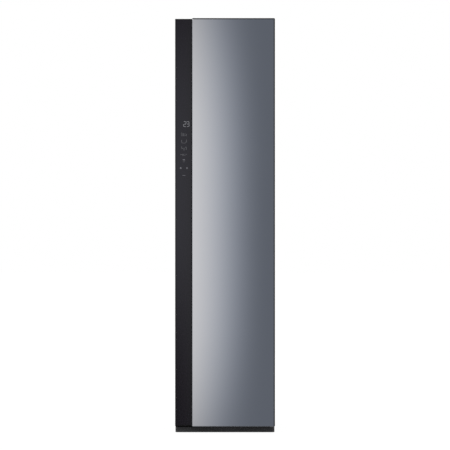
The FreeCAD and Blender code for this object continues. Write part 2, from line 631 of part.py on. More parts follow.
def make_fasteners():
    """Pan-head screws: ten in the back panel and two in the upper hinge plate."""
    screws = []
    for x, z in screw_places():
        head = rod(x, "back_y", z, "screw_head", "screw_head_height", ALONG_Y)
        screws.append(fuse(head, rod(x, "back_y", z, "screw_radius", "screw_length", ALONG_BACK)))
    for x, y in hinge_screws():
        head = rod(x, y, "roof + hinge_plate", "screw_head", "screw_head_height")
        screws.append(fuse(head, rod(x, y, "roof", "screw_radius", "hinge_plate")))
    group("cabinet_screws", *screws)
    gland = Piece("cord_gland")
    inner = "back_y - gland_inside"
    gland.pad("XZ", inner, "gland_length", disc("gland_x", "gland_z", "gland_radius - screw_play"))
    gland.pad("XZ", "back_y", "gland_collar_height",
              disc("gland_x", "gland_z", "gland_radius + gland_collar"))
    gland.pad("XZ", "back_y - sheet - gland_nut_height", "gland_nut_height",
              disc("gland_x", "gland_z", "gland_radius + gland_nut"))
    gland.pocket("XZ", inner, "gland_length", disc("gland_x", "gland_z", "gland_bore"))


def make_insulation():
    """Foam slabs between the outer sheets and the chamber's liners."""
    low, tall = "chamber_floor - liner_skirt", "deck - chamber_floor + liner_skirt"
    thick = "wall_space - sheet - liner - 2 * fit_gap"
    front = "frame_back_y + 2 * sheet + 2 * fit_gap"
    slabs = [
        block("-(inside_x)", front, low, thick, f"chamber_back_y - ({front})", tall),
        block(f"inside_x - ({thick})", front, low, thick, f"chamber_back_y - ({front})", tall),
        block("-chamber_x", "chamber_back_y + liner + fit_gap", low, "2 * chamber_x",
              "rear_space - liner - 2 * fit_gap", tall),
    ]
    group("insulation_panels", *slabs)


# ---------------------------------------------------------------- garment chamber
def make_liners():
    """Five moulded panels that line the chamber. The sides carry ribs and the shelf's studs."""
    low, tall = "chamber_floor - liner_skirt", "deck - chamber_floor + liner_skirt"
    for label, side in (("liner_left", -1), ("liner_right", 1)):
        start = "-chamber_x - liner" if side < 0 else "chamber_x"
        ribs_at = "-chamber_x" if side < 0 else "chamber_x - rib_height"
        studs_at = "-chamber_x" if side < 0 else "chamber_x - stud_length"
        wall = Piece(label)
        wall.pad("YZ", start, "liner", rect("frame_back_y", low, "chamber_back_y", f"{low} + {tall}"))
        ribs = [rect(f"chamber_mid_y + {n} * liner_rib_pitch - rib_width / 2", "shelf_z + liner_rib_low",
                     f"chamber_mid_y + {n} * liner_rib_pitch + rib_width / 2", "bar_z - liner_rib_high")
                for n in (-1, 0, 1)]
        wall.pad("YZ", ribs_at, "rib_height", *ribs)
        wall.pad("YZ", studs_at, "stud_length",
                 *[disc(y, "shelf_z - rim_radius - stud_radius", "stud_radius")
                   for y in ("stud_front", "stud_rear")])
    back = Piece("liner_back")
    back.pad("XZ", "chamber_back_y", "liner",
             rect("-chamber_x - liner", low, "chamber_x + liner", f"{low} + {tall}"))
    panels = [rounded(f"{side} * chamber_x / 2 - liner_panel", "shelf_z + liner_rib_low",
                      f"{side} * chamber_x / 2 + liner_panel", "bar_z - liner_rib_high", "rib_width")
              for side in (-1, 1)]
    back.pad("XZ", "chamber_back_y - rib_height", "rib_height", *panels)
    floor = Piece("liner_floor")
    floor.pad("XY", "floor_under", "liner", rect("-chamber_x", "frame_back_y", "chamber_x", "chamber_back_y"))
    floor.pocket("XY", "floor_under", "liner",
                 rect("-filter_width / 2 - filter_play", "filter_y - filter_depth / 2 - filter_play",
                      "filter_width / 2 + filter_play", "filter_y + filter_depth / 2 + filter_play"),
                 rect("-blower_radius + blower_wall", "blower_y + blower_wall", "blower_radius - blower_wall",
                      "blower_back_y - blower_wall"),
                 disc("nozzle_x", "nozzle_y", "nozzle_radius + screw_play"))
    ceiling = Piece("liner_ceiling")
    ceiling.pad("XY", "ceiling", "liner", rect("-chamber_x", "frame_back_y", "chamber_x", "chamber_back_y"))
    half, half_long = "post_size / 2 + post_play", "post_size / 2 + shake_travel + post_play"
    slots = [rect(f"{side} * post_x - ({half_long})", f"chamber_mid_y - ({half})",
                  f"{side} * post_x + ({half_long})", f"chamber_mid_y + ({half})") for side in (-1, 1)]
    ceiling.pocket("XY", "ceiling", "liner", *slots)


def make_lamp():
    """A light bar under the front of the ceiling."""
    lamp = Piece("interior_lamp")
    lamp.pad("XY", "ceiling - lamp_height", "lamp_height",
             rounded("-lamp_width / 2", "lamp_y - lamp_depth / 2", "lamp_width / 2",
                     "lamp_y + lamp_depth / 2", "lamp_corner"))
    low = number("ceiling - lamp_height")
    lamp.fillet("lamp_edge", lambda edge: edge.BoundBox.ZMax < low + 1e-6)


def corner_bend(x, y, z, bend, radius, start_angle):
    """A quarter turn of thick wire about a centre, from a start angle in degrees."""
    torus = doc.addObject("Part::Torus", "bend")
    bind(torus, Radius1=bend, Radius2=radius)
    torus.Angle1, torus.Angle2, torus.Angle3 = -180, 180, 90
    return place(torus, x, y, z, Rotation(Vector(0, 0, 1), start_angle))


def make_shelf():
    """A lift-out wire rack: a bent rim of thick rod, one wire across it and the rest from front to back."""
    front, back = "frame_back_y + shelf_front_gap", "chamber_back_y - shelf_back_gap"
    long = f"{back} - ({front})"
    wide = "2 * (shelf_x - shelf_corner)"
    rim = []
    for y in (front, back):
        rim.append(rod("-shelf_x + shelf_corner", y, "shelf_z", "rim_radius", wide, ALONG_X))
    for x in ("-shelf_x", "shelf_x"):
        rim.append(rod(x, f"{front} + shelf_corner", "shelf_z", "rim_radius",
                       f"{long} - 2 * shelf_corner", ALONG_Y))
    for x, y, start_angle in (("shelf_x - shelf_corner", f"{front} + shelf_corner", -90),
                              ("shelf_x - shelf_corner", f"{back} - shelf_corner", 0),
                              ("-shelf_x + shelf_corner", f"{back} - shelf_corner", 90),
                              ("-shelf_x + shelf_corner", f"{front} + shelf_corner", 180)):
        rim.append(corner_bend(x, y, "shelf_z", "shelf_corner", "rim_radius", start_angle))
    wires = [rod(f"-shelf_x + shelf_pitch * {n + 1}", f"{front} + wire_in", "shelf_z", "wire_radius",
                 f"{long} - 2 * wire_in", ALONG_Y)
             for n in range(round(number("wire_count")))]
    cross = rod("-shelf_x", f"({front} + {back}) / 2", "shelf_z - 2 * wire_radius + wire_weld",
                "wire_radius", "2 * shelf_x", ALONG_X)
    node("shelf", fuse(*rim, *wires, cross))


# ---------------------------------------------------------------- tanks and air intake
def make_tank_bay():
    """A moulded bulkhead with a bay for each tank and a hose stub behind each."""
    bay = Piece("tank_bay")
    bay.pad("XZ", "frame_back_y", "bay_depth", rect("-bay_x", "bay_bottom", "bay_x", "bay_top"))
    bay.pocket("XZ", "frame_back_y", "bay_depth - bay_wall",
               rect("-bay_x + bay_wall", "bay_bottom + bay_wall", "-bay_wall", "bay_top - bay_wall"),
               rect("bay_wall", "bay_bottom + bay_wall", "bay_x - bay_wall", "bay_top - bay_wall"))
    bay.pad("XZ", "bay_back_y", "port_length", disc("bay_x / 2", "supply_port_z", "port_radius"),
            disc("-bay_x / 2", "drain_port_z", "port_radius"))


def make_tank(label, side):
    """A blow-moulded water tank, with a hand recess in front and a lid with a filler cap."""
    near, far = "bay_wall + tank_play", "bay_x - bay_wall - tank_play"
    window_top = "tank_top - 2 * tank_grip_height"
    left, right = (near, far) if side > 0 else (f"-({far})", f"-({near})")
    middle = f"(({left}) + ({right})) / 2"
    tank = Piece(label + "_body")
    del NODES[label + "_body"]
    tank.pad("XY", "tank_floor", "tank_height", rounded(left, "tank_y", right, "tank_back_y", "tank_corner"))
    tank.pocket("XY", "tank_floor + tank_wall", "tank_height",
                rounded(f"{left} + tank_wall", "tank_y + tank_grip_depth + 2 * tank_wall",
                        f"{right} - tank_wall", "tank_back_y - tank_wall", "tank_corner - tank_wall"))
    tank.pocket("XZ", "tank_y + tank_wall", "tank_grip_depth + 2 * tank_wall",
                rounded(f"{left} + tank_corner", "tank_floor + tank_corner",
                        f"{right} - tank_corner", window_top, "tank_corner / 2"))
    tank.pocket("XZ", "tank_y", "tank_grip_depth",
                rounded(f"{middle} - tank_grip_width / 2", "tank_top - 1.5 * tank_grip_height",
                        f"{middle} + tank_grip_width / 2", "tank_top - tank_grip_height / 2",
                        "tank_corner"))
    lid = Piece(label + "_lid")
    del NODES[label + "_lid"]
    lid.pad("XY", "tank_top", "tank_lid", rounded(left, "tank_y", right, "tank_back_y", "tank_corner"))
    lid.pad("XY", "tank_top + tank_lid", "cap_height",
            disc(middle, "(tank_y + tank_back_y) / 2", "cap_radius"))
    group(label, tank.body, lid.body)


def make_intake():
    """The duct under the chamber's front, and the lint filter that drops into it."""
    half = "filter_width / 2 + filter_play"
    front = "filter_y - filter_depth / 2 - filter_play"
    duct = Piece("intake_duct")
    duct.pad("XY", "bay_top", "duct_top - bay_top",
             rect(f"-({half}) - duct_wall", f"{front} - duct_wall", f"{half} + duct_wall",
                  "duct_front_y - fit_gap"))
    duct.pocket("XZ", front, "duct_front_y - (filter_y - filter_depth)",
                rect(f"-({half})", "bay_top + duct_wall", half, "duct_top - duct_wall"))
    duct.pocket("XY", "duct_top - 2 * duct_wall", "2 * duct_wall",
                rect(f"-({half})", front, half, "filter_y + filter_depth / 2 + filter_play"))
    low = "bay_top + duct_wall + fit_gap"
    top = "chamber_floor + filter_rise"
    lint = Piece("lint_filter")
    edge = ("-filter_width / 2", low, "filter_width / 2", top)
    lint.pad("XZ", "filter_y - filter_depth / 2", "filter_depth", rect(*edge))
    windows = [rect(f"{a} + filter_frame / 2", f"{low} + filter_frame", f"{b} - filter_frame / 2",
                    f"{top} - filter_frame")
               for a, b in (("-filter_width / 2", "0"), ("0", "filter_width / 2"))]
    lint.pocket("XZ", "filter_y - filter_depth / 2", "filter_depth", *windows)
    lint.pad("XZ", "filter_y - filter_mesh / 2", "filter_mesh",
             rect("-filter_width / 2 + filter_mesh_in", f"{low} + filter_mesh_in",
                  "filter_width / 2 - filter_mesh_in", f"{top} - filter_mesh_in"))
    lint.pad("XY", top, "filter_tab_height",
             rounded("-filter_tab / 2", "filter_y - filter_frame", "filter_tab / 2",
                     "filter_y + filter_frame", "filter_frame / 2"))


# ---------------------------------------------------------------- heat pump and blower
COILS = (("evaporator_y", "evaporator_depth"), ("condenser_y", "condenser_depth"))


def make_heat_pump_duct():
    """A moulded air duct on two legs, which holds both coils between the intake and the blower."""
    duct = Piece("heat_pump_duct")
    duct.pad("XZ", "duct_front_y", "duct_length", rect("-duct_half", "base_floor", "duct_half", "duct_top"))
    duct.pocket("XZ", "duct_front_y", "duct_length",
                rect("-duct_half + duct_leg", "base_floor", "duct_half - duct_leg", "duct_bottom"))
    duct.pocket("XZ", "duct_front_y + duct_wall", "duct_length - 2 * duct_wall",
                rect("-duct_half + duct_leg", "duct_bottom + duct_wall", "duct_half - duct_leg",
                     "duct_top - duct_wall"))
    mouth = "filter_width / 2 + filter_play"
    duct.pocket("XZ", "duct_front_y", "duct_wall",
                rect(f"-({mouth})", "bay_top + duct_wall", mouth, "duct_top - duct_wall"))
    duct.pocket("XZ", "duct_back_y - duct_wall", "duct_wall", disc(0, "blower_z", "blower_inlet"))
    duct.pocket("YZ", "-duct_half", "2 * duct_half",
                rounded("duct_front_y + leg_window", "base_floor + leg_sill", "duct_back_y - leg_window",
                        "duct_bottom - leg_sill", "rib_width"))
    ends = [disc(y, z, "coil_tube + fit_gap") for coil in COILS for y, z in coil_ends(*coil)]
    duct.pocket("YZ", "duct_half - duct_leg", "duct_leg", *ends)


def coil_row(row):
    """The height of one row of a coil's tubes, counted from the bottom."""
    return f"coil_z + (coil_top - coil_z) * ({row} + 0.5) / coil_tube_rows"


def coil_ends(start, deep):
    """Where a coil's two ends come out of the duct, as y and z: the lowest and the highest row."""
    return [(f"{start} + {deep} * 0.7", coil_row(row)) for row in ("0", "coil_tube_rows - 1")]


def make_coil(label, start, deep):
    """A finned coil: rows of tube across, thin fins on them, and two ends that stand out of the duct."""
    coil = Piece(label)
    rows = round(number("coil_tube_rows"))
    tubes = [disc(f"{start} + {deep} * {share}", coil_row(n), "coil_tube")
             for n in range(rows) for share in (0.3, 0.7)]
    coil.pad("YZ", "-coil_x", "2 * coil_x", *tubes)
    coil.pad("YZ", "coil_x - fin_thick", "coil_stub + fin_thick",
             *[disc(y, z, "coil_tube") for y, z in coil_ends(start, deep)])
    fin = coil.pad("YZ", "-coil_x", "fin_thick", rect(start, "coil_z", f"{start} + {deep}", "coil_top"))
    coil.repeat(fin, "X", "fin_pitch", "floor((2 * coil_x - fin_thick) / fin_pitch) + 1")


def make_blower():
    """A radial blower: a U-shaped casing open to the chamber, a bladed wheel and its motor."""
    casing = Piece("blower_housing")
    casing.pad("XZ", "blower_y", "blower_depth", cradle(0, "blower_z", "blower_radius", "duct_top"))
    casing.pocket("XZ", "blower_y + blower_wall", "blower_depth - 2 * blower_wall",
                  cradle(0, "blower_z", "blower_radius - blower_wall", "duct_top + blower_wall"))
    casing.pocket("XZ", "blower_y", "blower_wall", disc(0, "blower_z", "blower_inlet"))
    casing.pocket("XZ", "blower_back_y - blower_wall", "blower_wall", disc(0, "blower_z", "shaft_radius * 2"))
    wheel = Piece("blower_impeller")
    wheel.pad("XY", "impeller_width - impeller_disc", "impeller_disc", disc(0, 0, "impeller_radius"))
    wheel.pad("XY", "impeller_width - impeller_hub_length", "impeller_hub_length", disc(0, 0, "impeller_hub"))
    wheel.pad("XY", 0, "impeller_disc", disc(0, 0, "impeller_radius"),
              disc(0, 0, "impeller_radius - blade_depth"))
    blade = wheel.pad("XY", "impeller_disc / 2", "impeller_width - impeller_disc", poly(
        ("impeller_radius - blade_depth", "-blade_thick"), ("impeller_radius - fit_gap", "blade_thick"),
        ("impeller_radius - fit_gap", "blade_thick * 2"), ("impeller_radius - blade_depth", "0")))
    wheel.ring(blade, "Z", "blade_count")
    wheel.pocket("XY", 0, "impeller_width", disc(0, 0, "shaft_radius"))
    place(wheel.body, 0, "impeller_y", "blower_z", ALONG_Y)
    motor = Piece("blower_motor")
    motor.pad("XY", 0, "motor_flange", disc(0, 0, "motor_radius + motor_flange_edge"))
    motor.pad("XY", 0, "motor_length", disc(0, 0, "motor_radius"))
    high = number("motor_length")
    motor.fillet("motor_flange", lambda edge: edge.BoundBox.ZMin > high - 1e-6)
    reach = "blower_back_y + fit_gap - impeller_y - impeller_width + impeller_hub_length"
    motor.pad("XY", f"-({reach})", reach, disc(0, 0, "shaft_radius - pin_play"))
    place(motor.body, 0, "blower_back_y + fit_gap", "blower_z", ALONG_Y)


def make_grille():
    """The chamber's air outlet and the steam nozzle beside it."""
    grille = Piece("outlet_grille")
    half = "blower_radius - blower_wall"
    front, back = "blower_y + blower_wall", "blower_back_y - blower_wall"
    grille.pad("XY", "chamber_floor", "grille_height",
               rounded(f"-({half}) - grille_lip", f"{front} - grille_lip", f"{half} + grille_lip",
                       f"{back} + grille_lip", "grille_lip"))
    slot = grille.pocket("XY", "chamber_floor", "grille_height",
                         rounded(f"-({half}) + slat_in", f"{front} + slat_in", f"{half} - slat_in",
                                 f"{front} + slat_in + slat_gap", "slat_end"))
    grille.repeat(slot, "Y", "slat_pitch",
                  f"floor(({back} - ({front}) - 2 * slat_in - slat_gap) / slat_pitch) + 1")
    nozzle = Piece("steam_nozzle")
    nozzle.revolve("XZ", "V_Axis", poly(
        ("port_radius", "-nozzle_height"), ("nozzle_radius", "-nozzle_height"), ("nozzle_radius", "0"),
        ("nozzle_flange", "0"), ("nozzle_flange", "liner"), ("nozzle_top", "liner"),
        ("nozzle_radius", "nozzle_height"), ("nozzle_hole", "nozzle_height"),
        ("nozzle_hole", "nozzle_height - liner"), ("port_radius", "liner")))
    place(nozzle.body, "nozzle_x", "nozzle_y", "chamber_floor")


def mount_places():
    """The compressor's three mounts, as x and y."""
    for turn in (90, 210, 330):
        yield f"compressor_x + mount_circle * cos({turn})", f"compressor_y + mount_circle * sin({turn})"


def make_compressor():
    """A sealed compressor: a domed can with a foot plate, a terminal cover and three rubber mounts."""
    can = Piece("compressor")
    wall, tall = "compressor_radius", "compressor_top - compressor_bottom"
    can.pad("XY", 0, tall, disc(0, 0, wall))
    high = number(tall)
    can.fillet("compressor_dome", lambda edge: edge.BoundBox.ZMin > high - 1e-6)
    can.pocket("XY", "compressor_shell", f"{tall} - compressor_shell - compressor_head",
               disc(0, 0, "compressor_radius - compressor_shell"))
    can.pad("XY", 0, "hinge_plate", disc(0, 0, "mount_circle + grommet_radius"))
    holes = [disc(f"mount_circle * cos({turn})", f"mount_circle * sin({turn})", "foot_stud")
             for turn in (90, 210, 330)]
    can.pocket("XY", 0, "hinge_plate", *holes)
    place(can.body, "compressor_x", "compressor_y", "compressor_bottom")
    mounts = []
    for x, y in mount_places():
        lower = rod(x, y, "base_floor", "grommet_radius", "compressor_bottom - base_floor")
        neck = rod(x, y, "compressor_bottom", "grommet_neck", "hinge_plate")
        cap = rod(x, y, "compressor_bottom + hinge_plate", "grommet_cap", "hinge_plate")
        mounts.append(fuse(lower, neck, cap))
    group("compressor_mounts", *mounts)


def tube(points, radius, bend):
    """A solid tube along straight runs joined by tangent arcs, through points that are triples of numbers."""
    at = [Vector(*point) for point in points]
    edges = []
    last = at[0]
    for before, corner, after in zip(at, at[1:], at[2:]):
        to_before, to_after = (before - corner).normalize(), (after - corner).normalize()
        half = to_before.getAngle(to_after) / 2
        back_off = min(bend / math.tan(half), 0.45 * min((before - corner).Length, (after - corner).Length))
        start, end = corner + to_before * back_off, corner + to_after * back_off
        centre_line = (to_before + to_after).normalize()
        arc_radius = back_off * math.tan(half)
        centre = corner + centre_line * (back_off / math.cos(half))
        middle = centre - centre_line * arc_radius
        edges.append(Part.LineSegment(last, start).toShape())
        edges.append(Part.Arc(start, middle, end).toShape())
        last = end
    edges.append(Part.LineSegment(last, at[-1]).toShape())
    path = Part.Wire(edges)
    way = (at[1] - at[0]).normalize()
    profile = Part.Wire(Part.Circle(at[0], way, radius).toShape())
    solid = path.makePipeShell([profile], True, False)
    drift = abs(solid.Volume / (math.pi * radius**2 * path.Length) - 1)
    if drift > 0.01:
        raise ValueError(f"a tube's volume is {drift:.1%} from its section times its length")
    return solid


def route(*points):
    """Turns points written as expressions into numbers."""
    return [[number(value) for value in point] for point in points]


def tubes(label, *runs):
    """Several tubes in one node. Each run is a radius, a bend radius and its points."""
    shapes = [tube(route(*points), number(radius), number(bend)) for radius, bend, points in runs]
    thing = doc.addObject("Part::Feature", label)
    thing.Shape = Part.makeCompound(shapes)
    return node(label, thing)


def make_pipes():
    """Copper pipes: compressor to condenser, evaporator to compressor, and the thin one between."""
    coil_end = "coil_x + coil_stub"
    (cool, low), (_, cool_high) = coil_ends(*COILS[0])
    (warm, warm_low), (_, high) = coil_ends(*COILS[1])
    top = "compressor_top"
    hot_x, hot_y = "compressor_x + pipe_in", "compressor_y - pipe_apart"
    cold_x, cold_y = "compressor_x + pipe_apart", "compressor_y + pipe_in"
    under = "duct_bottom - leg_sill"
    tubes(
        "refrigerant_pipes",
        ("pipe_radius", "pipe_bend", [
            (hot_x, hot_y, top), (hot_x, hot_y, high), ("pipe_side", hot_y, high), ("pipe_side", warm, high),
            (coil_end, warm, high)]),
        ("pipe_radius", "pipe_bend", [
            (cold_x, cold_y, top), (cold_x, cold_y, cool_high), ("cold_side", cold_y, cool_high),
            ("cold_side", cool, cool_high), (coil_end, cool, cool_high)]),
        ("pipe_radius / 2", "pipe_bend", [
            (coil_end, warm, warm_low), ("pipe_side", warm, warm_low), ("pipe_side", warm, under),
            ("pipe_side", cool, under), ("pipe_side", cool, low), (coil_end, cool, low)]),
    )


# ---------------------------------------------------------------- steam, water and controls
def make_steam_generator():
    """The boiler: a moulded tank with a flanged lid, two ports and heater terminals in front."""
    left, front = "steam_x - steam_length / 2", "steam_y - steam_width / 2"
    right, back = "steam_x + steam_length / 2", "steam_y + steam_width / 2"
    steam_x, water_x = f"{left} + steam_port_in", f"{right} - steam_port_in"
    port_y = f"{back} - steam_port_back"
    boiler = Piece("steam_generator")
    boiler.pad("XY", "base_floor", "steam_height", rounded(left, front, right, back, "rib_width"))
    boiler.pad("XY", "base_floor + steam_flange_z", "steam_flange",
               rounded(f"{left} - steam_flange", f"{front} - steam_flange", f"{right} + steam_flange",
                       f"{back} + steam_flange", "rib_width"))
    boiler.pad("XY", "base_floor + steam_height", "port_length", disc(steam_x, port_y, "steam_port"),
               disc(water_x, port_y, "port_nose"))
    terminals = []
    for n in range(2):
        start = f"{left} + terminal_in + {n} * terminal_pitch"
        terminals.append(rect(start, "base_floor + terminal_low", f"{start} + terminal_width",
                              "base_floor + terminal_low + terminal_height"))
    boiler.pad("XZ", f"{front} - port_length", "port_length", *terminals)
    return steam_x, water_x, port_y, "base_floor + steam_height + port_length"


def make_pumps():
    """Two small water pumps: one feeds the boiler, one empties the drip tray into the drain tank."""
    pumps = []
    start = "pump_x - pump_length / 2"
    for y in ("pump_front", "pump_rear"):
        barrel = rod(start, y, "pump_z", "pump_radius", "pump_length", ALONG_X)
        foot = block("pump_x - pump_foot", f"{y} - pump_radius", "base_floor", "2 * pump_foot",
                     "2 * pump_radius", "pump_z - base_floor - pump_radius / 2")
        nose = rod(f"{start} - port_length", y, "pump_z", "port_nose", "port_length", ALONG_X)
        pumps.append(fuse(barrel, foot, nose))
    group("water_pumps", *pumps)


def make_hoses(steam_x, water_x, port_y, port_z):
    """Rubber hoses: boiler to nozzle, supply tank to pump, pump to boiler, and tray to drain tank."""
    bay = "bay_back_y + port_length"
    nose, tail = "pump_x - pump_length / 2 - port_length", "pump_x + pump_length / 2"
    turn_back, turn_in = f"{nose} - hose_room", f"{tail} + pump_bend"
    over = "duct_bottom - hose_room - port_length"
    tubes(
        "water_hoses",
        ("hose_radius", "hose_bend", [
            (steam_x, port_y, port_z), (steam_x, port_y, f"{port_z} + 2 * hose_room"),
            ("nozzle_x", "nozzle_y", "duct_bottom - leg_sill"),
            ("nozzle_x", "nozzle_y", "chamber_floor - nozzle_height")]),
        ("thin_hose", "pump_bend", [
            ("bay_x / 2", bay, "supply_port_z"), ("bay_x / 2", f"{bay} + hose_room", "supply_port_z"),
            (turn_in, f"{bay} + hose_room", "supply_port_z"), (turn_in, "pump_front", "pump_z"),
            (tail, "pump_front", "pump_z")]),
        ("thin_hose", "pump_bend", [
            (nose, "pump_front", "pump_z"), (turn_back, "pump_front", "pump_z"),
            (turn_back, port_y, f"{port_z} + hose_room"), (water_x, port_y, f"{port_z} + hose_room"),
            (water_x, port_y, port_z)]),
        ("thin_hose", "pump_bend", [
            (nose, "pump_rear", "pump_z"), (turn_back, "pump_rear", "pump_z"), (turn_back, "pump_rear", over),
            ("-bay_x / 2", "pump_front", over), ("-bay_x / 2", f"{bay} + hose_room", "drain_port_z"),
            ("-bay_x / 2", bay, "drain_port_z")]),
    )


def make_control_box():
    """The electronics case: an open shell with a circuit board and a lid."""
    top = "base_floor + box_height"
    shell = cut(
        block("box_left", "box_front", "base_floor", "box_width", "box_depth", "box_height"),
        block("box_left + box_wall", "box_front + box_wall", "base_floor + box_wall",
              "box_width - 2 * box_wall", "box_depth - 2 * box_wall", "box_height"))
    board = block("box_left + 2 * box_wall", "box_front + 2 * box_wall", "base_floor + box_wall + fit_gap",
                  "board_thick", "box_depth - 4 * box_wall", "box_height - 4 * box_wall")
    parts = []
    # Each part's place along the board, its height up it, and how far it stands out, in parts' widths.
    for along, rise, reach in ((0, 0, 1.2), (2, 1, 0.8), (3, 3, 1.5), (1, 4, 0.5)):
        parts.append(block("box_left + 2 * box_wall + board_thick",
                           f"box_front + board_part_front + {along} * board_part",
                           f"base_floor + board_part_low + {rise} * board_part", f"{reach} * board_part",
                           "board_part", "board_part_height"))
    lid = block("box_left", "box_front", top, "box_width", "box_depth", "box_wall")
    group("control_box", shell, fuse(board, *parts), lid)


# ---------------------------------------------------------------- shaking hanger
def make_mechanism():
    """The drive above the ceiling: a bridge of folded plate, two guide rods, a motor and a belt drive."""
    front, back = "chamber_mid_y - plate_depth / 2", "chamber_mid_y + plate_depth / 2"
    bridge = Piece("mechanism_plate")
    bridge.pad("XZ", front, "plate_depth", poly(
        ("-plate_half", "deck"), ("-plate_half + plate_thick", "deck"),
        ("-plate_half + plate_thick", "plate_z"), ("plate_half - plate_thick", "plate_z"),
        ("plate_half - plate_thick", "deck"), ("plate_half", "deck"),
        ("plate_half", "plate_z + plate_thick"), ("-plate_half", "plate_z + plate_thick")))
    rods_y = ("chamber_mid_y - rod_spacing", "chamber_mid_y + rod_spacing")
    bridge.pocket("YZ", "-plate_half", "2 * plate_half", *[disc(y, "rod_z", "rod_radius") for y in rods_y])
    bridge.pocket("XY", "plate_z", "plate_thick",
                  disc("-pulley_spacing", "chamber_mid_y", "shaft_radius * 2"),
                  disc(0, "chamber_mid_y", "shaft_radius"))
    rods = [rod("-plate_half", y, "rod_z", "rod_radius - pin_play / 2", "2 * plate_half", ALONG_X)
            for y in rods_y]
    group("guide_rods", *rods)
    motor = Piece("shake_motor")
    motor.pad("XY", "plate_thick", "shake_motor_height", disc(0, 0, "shake_motor_radius"))
    high = number("plate_thick + shake_motor_height")
    motor.fillet("plate_thick", lambda edge: edge.BoundBox.ZMin > high - 1e-6)
    motor.pad("XY", "-pulley_height - pulley_drop", "pulley_height + pulley_drop + plate_thick",
              disc(0, 0, "shaft_radius - pin_play"))
    place(motor.body, "-pulley_spacing", "chamber_mid_y", "plate_z")


def make_pulley(label, radius, x):
    """A flanged belt pulley on an upright axis."""
    pulley = Piece(label)
    rim = "(pulley_height - belt_height) / 2 - pulley_play"
    pulley.pad("XY", 0, rim, disc(0, 0, radius))
    pulley.pad("XY", 0, "pulley_height", disc(0, 0, f"{radius} - belt_thick - belt_in"))
    pulley.pad("XY", f"pulley_height - ({rim})", rim, disc(0, 0, radius))
    place(pulley.body, x, "chamber_mid_y", "pulley_z")
    return pulley


def make_shaker():
    """The crank pulley, whose pin drives a slotted carriage from side to side along the guide rods."""
    small = make_pulley("motor_pulley", "motor_pulley", "-pulley_spacing")
    small.pocket("XY", 0, "pulley_height", disc(0, 0, "shaft_radius"))
    crank = make_pulley("crank_pulley", "crank_pulley", "0")
    pin_bottom = "carriage_z - pulley_z"
    crank.pad("XY", pin_bottom, f"-({pin_bottom})", disc(0, "-crank_radius", "crank_pin"))
    crank.pad("XY", "pulley_height", "plate_z + plate_thick - pulley_z - pulley_height + pulley_drop",
              disc(0, 0, "shaft_radius - pin_play"))
    shapes = []
    for extra in ("fit_gap", "fit_gap - belt_thick"):
        big = f"crank_pulley - belt_in + {extra}"
        little = f"motor_pulley - belt_in + {extra}"
        shapes.append(belt_outline(number(big), number(little), number("pulley_spacing")))
    face = Part.Face(shapes[0]).cut(Part.Face(shapes[1]))
    belt = doc.addObject("Part::Feature", "belt")
    belt.Shape = face.extrude(Vector(0, 0, number("belt_height")))
    node("drive_belt", place(belt, 0, "chamber_mid_y", "pulley_z + (pulley_height - belt_height) / 2"))
    carriage = Piece("hanger_carriage")
    carriage.pad("XY", "carriage_z", "carriage_thick",
                 rounded("-carriage_half", "chamber_mid_y - carriage_depth / 2", "carriage_half",
                         "chamber_mid_y + carriage_depth / 2", "rib_width"))
    for side in (-1, 1):
        for y in ("chamber_mid_y - rod_spacing", "chamber_mid_y + rod_spacing"):
            low_x = f"{side} * (carriage_half - bush_length / 2 - carriage_thick) - bush_length / 2"
            carriage.pad("YZ", low_x, "bush_length",
                         rect(f"{y} - bush_block", "carriage_z + carriage_thick / 2", f"{y} + bush_block",
                              "rod_z + bush_block"))
    carriage.pocket("YZ", "-carriage_half", "2 * carriage_half",
                    *[disc(y, "rod_z", "rod_radius + rod_play / 2")
                      for y in ("chamber_mid_y - rod_spacing", "chamber_mid_y + rod_spacing")])
    carriage.pocket("XY", "carriage_z", "carriage_thick",
                    rounded("-crank_pin - crank_slot_play",
                            "chamber_mid_y - crank_radius - crank_pin - crank_slot_end",
                            "crank_pin + crank_slot_play",
                            "chamber_mid_y + crank_radius + crank_pin + crank_slot_end", "crank_slot_end"))
    bar = Piece("hanger_bar")
    low_y, high_y = "chamber_mid_y - bar_depth / 2", "chamber_mid_y + bar_depth / 2"
    bar.pad("XZ", low_y, "bar_depth",
            rounded("-bar_half", "bar_z - bar_height / 2", "bar_half", "bar_z + bar_height / 2",
                    "bar_height / 3"))
    bar.pad("XY", "bar_z", "carriage_z - bar_z",
            *[rect(f"{side} * post_x - post_size / 2", "chamber_mid_y - post_size / 2",
                   f"{side} * post_x + post_size / 2", "chamber_mid_y + post_size / 2") for side in (-1, 1)])
    bar.pocket("XZ", low_y, "bar_depth",
               *[rect(f"{n} * notch_pitch - notch_width / 2", "bar_z + bar_height / 2 - notch_depth",
                      f"{n} * notch_pitch + notch_width / 2", "bar_z + bar_height / 2 + notch_depth")
                 for n in (-1, 0, 1)])


def belt_outline(big, little, apart):
    """The wire of an open belt round a big wheel at the origin and a little one at x = -apart."""
    tilt = math.asin((big - little) / apart)
    up = Vector(-math.sin(tilt), math.cos(tilt), 0)
    down = Vector(-math.sin(tilt), -math.cos(tilt), 0)
    centre = Vector(-apart, 0, 0)
    return Part.Wire([
        Part.Arc(up * big, Vector(big, 0, 0), down * big).toShape(),
        Part.LineSegment(down * big, centre + down * little).toShape(),
        Part.Arc(centre + down * little, centre - Vector(little, 0, 0), centre + up * little).toShape(),
        Part.LineSegment(centre + up * little, up * big).toShape(),
    ])


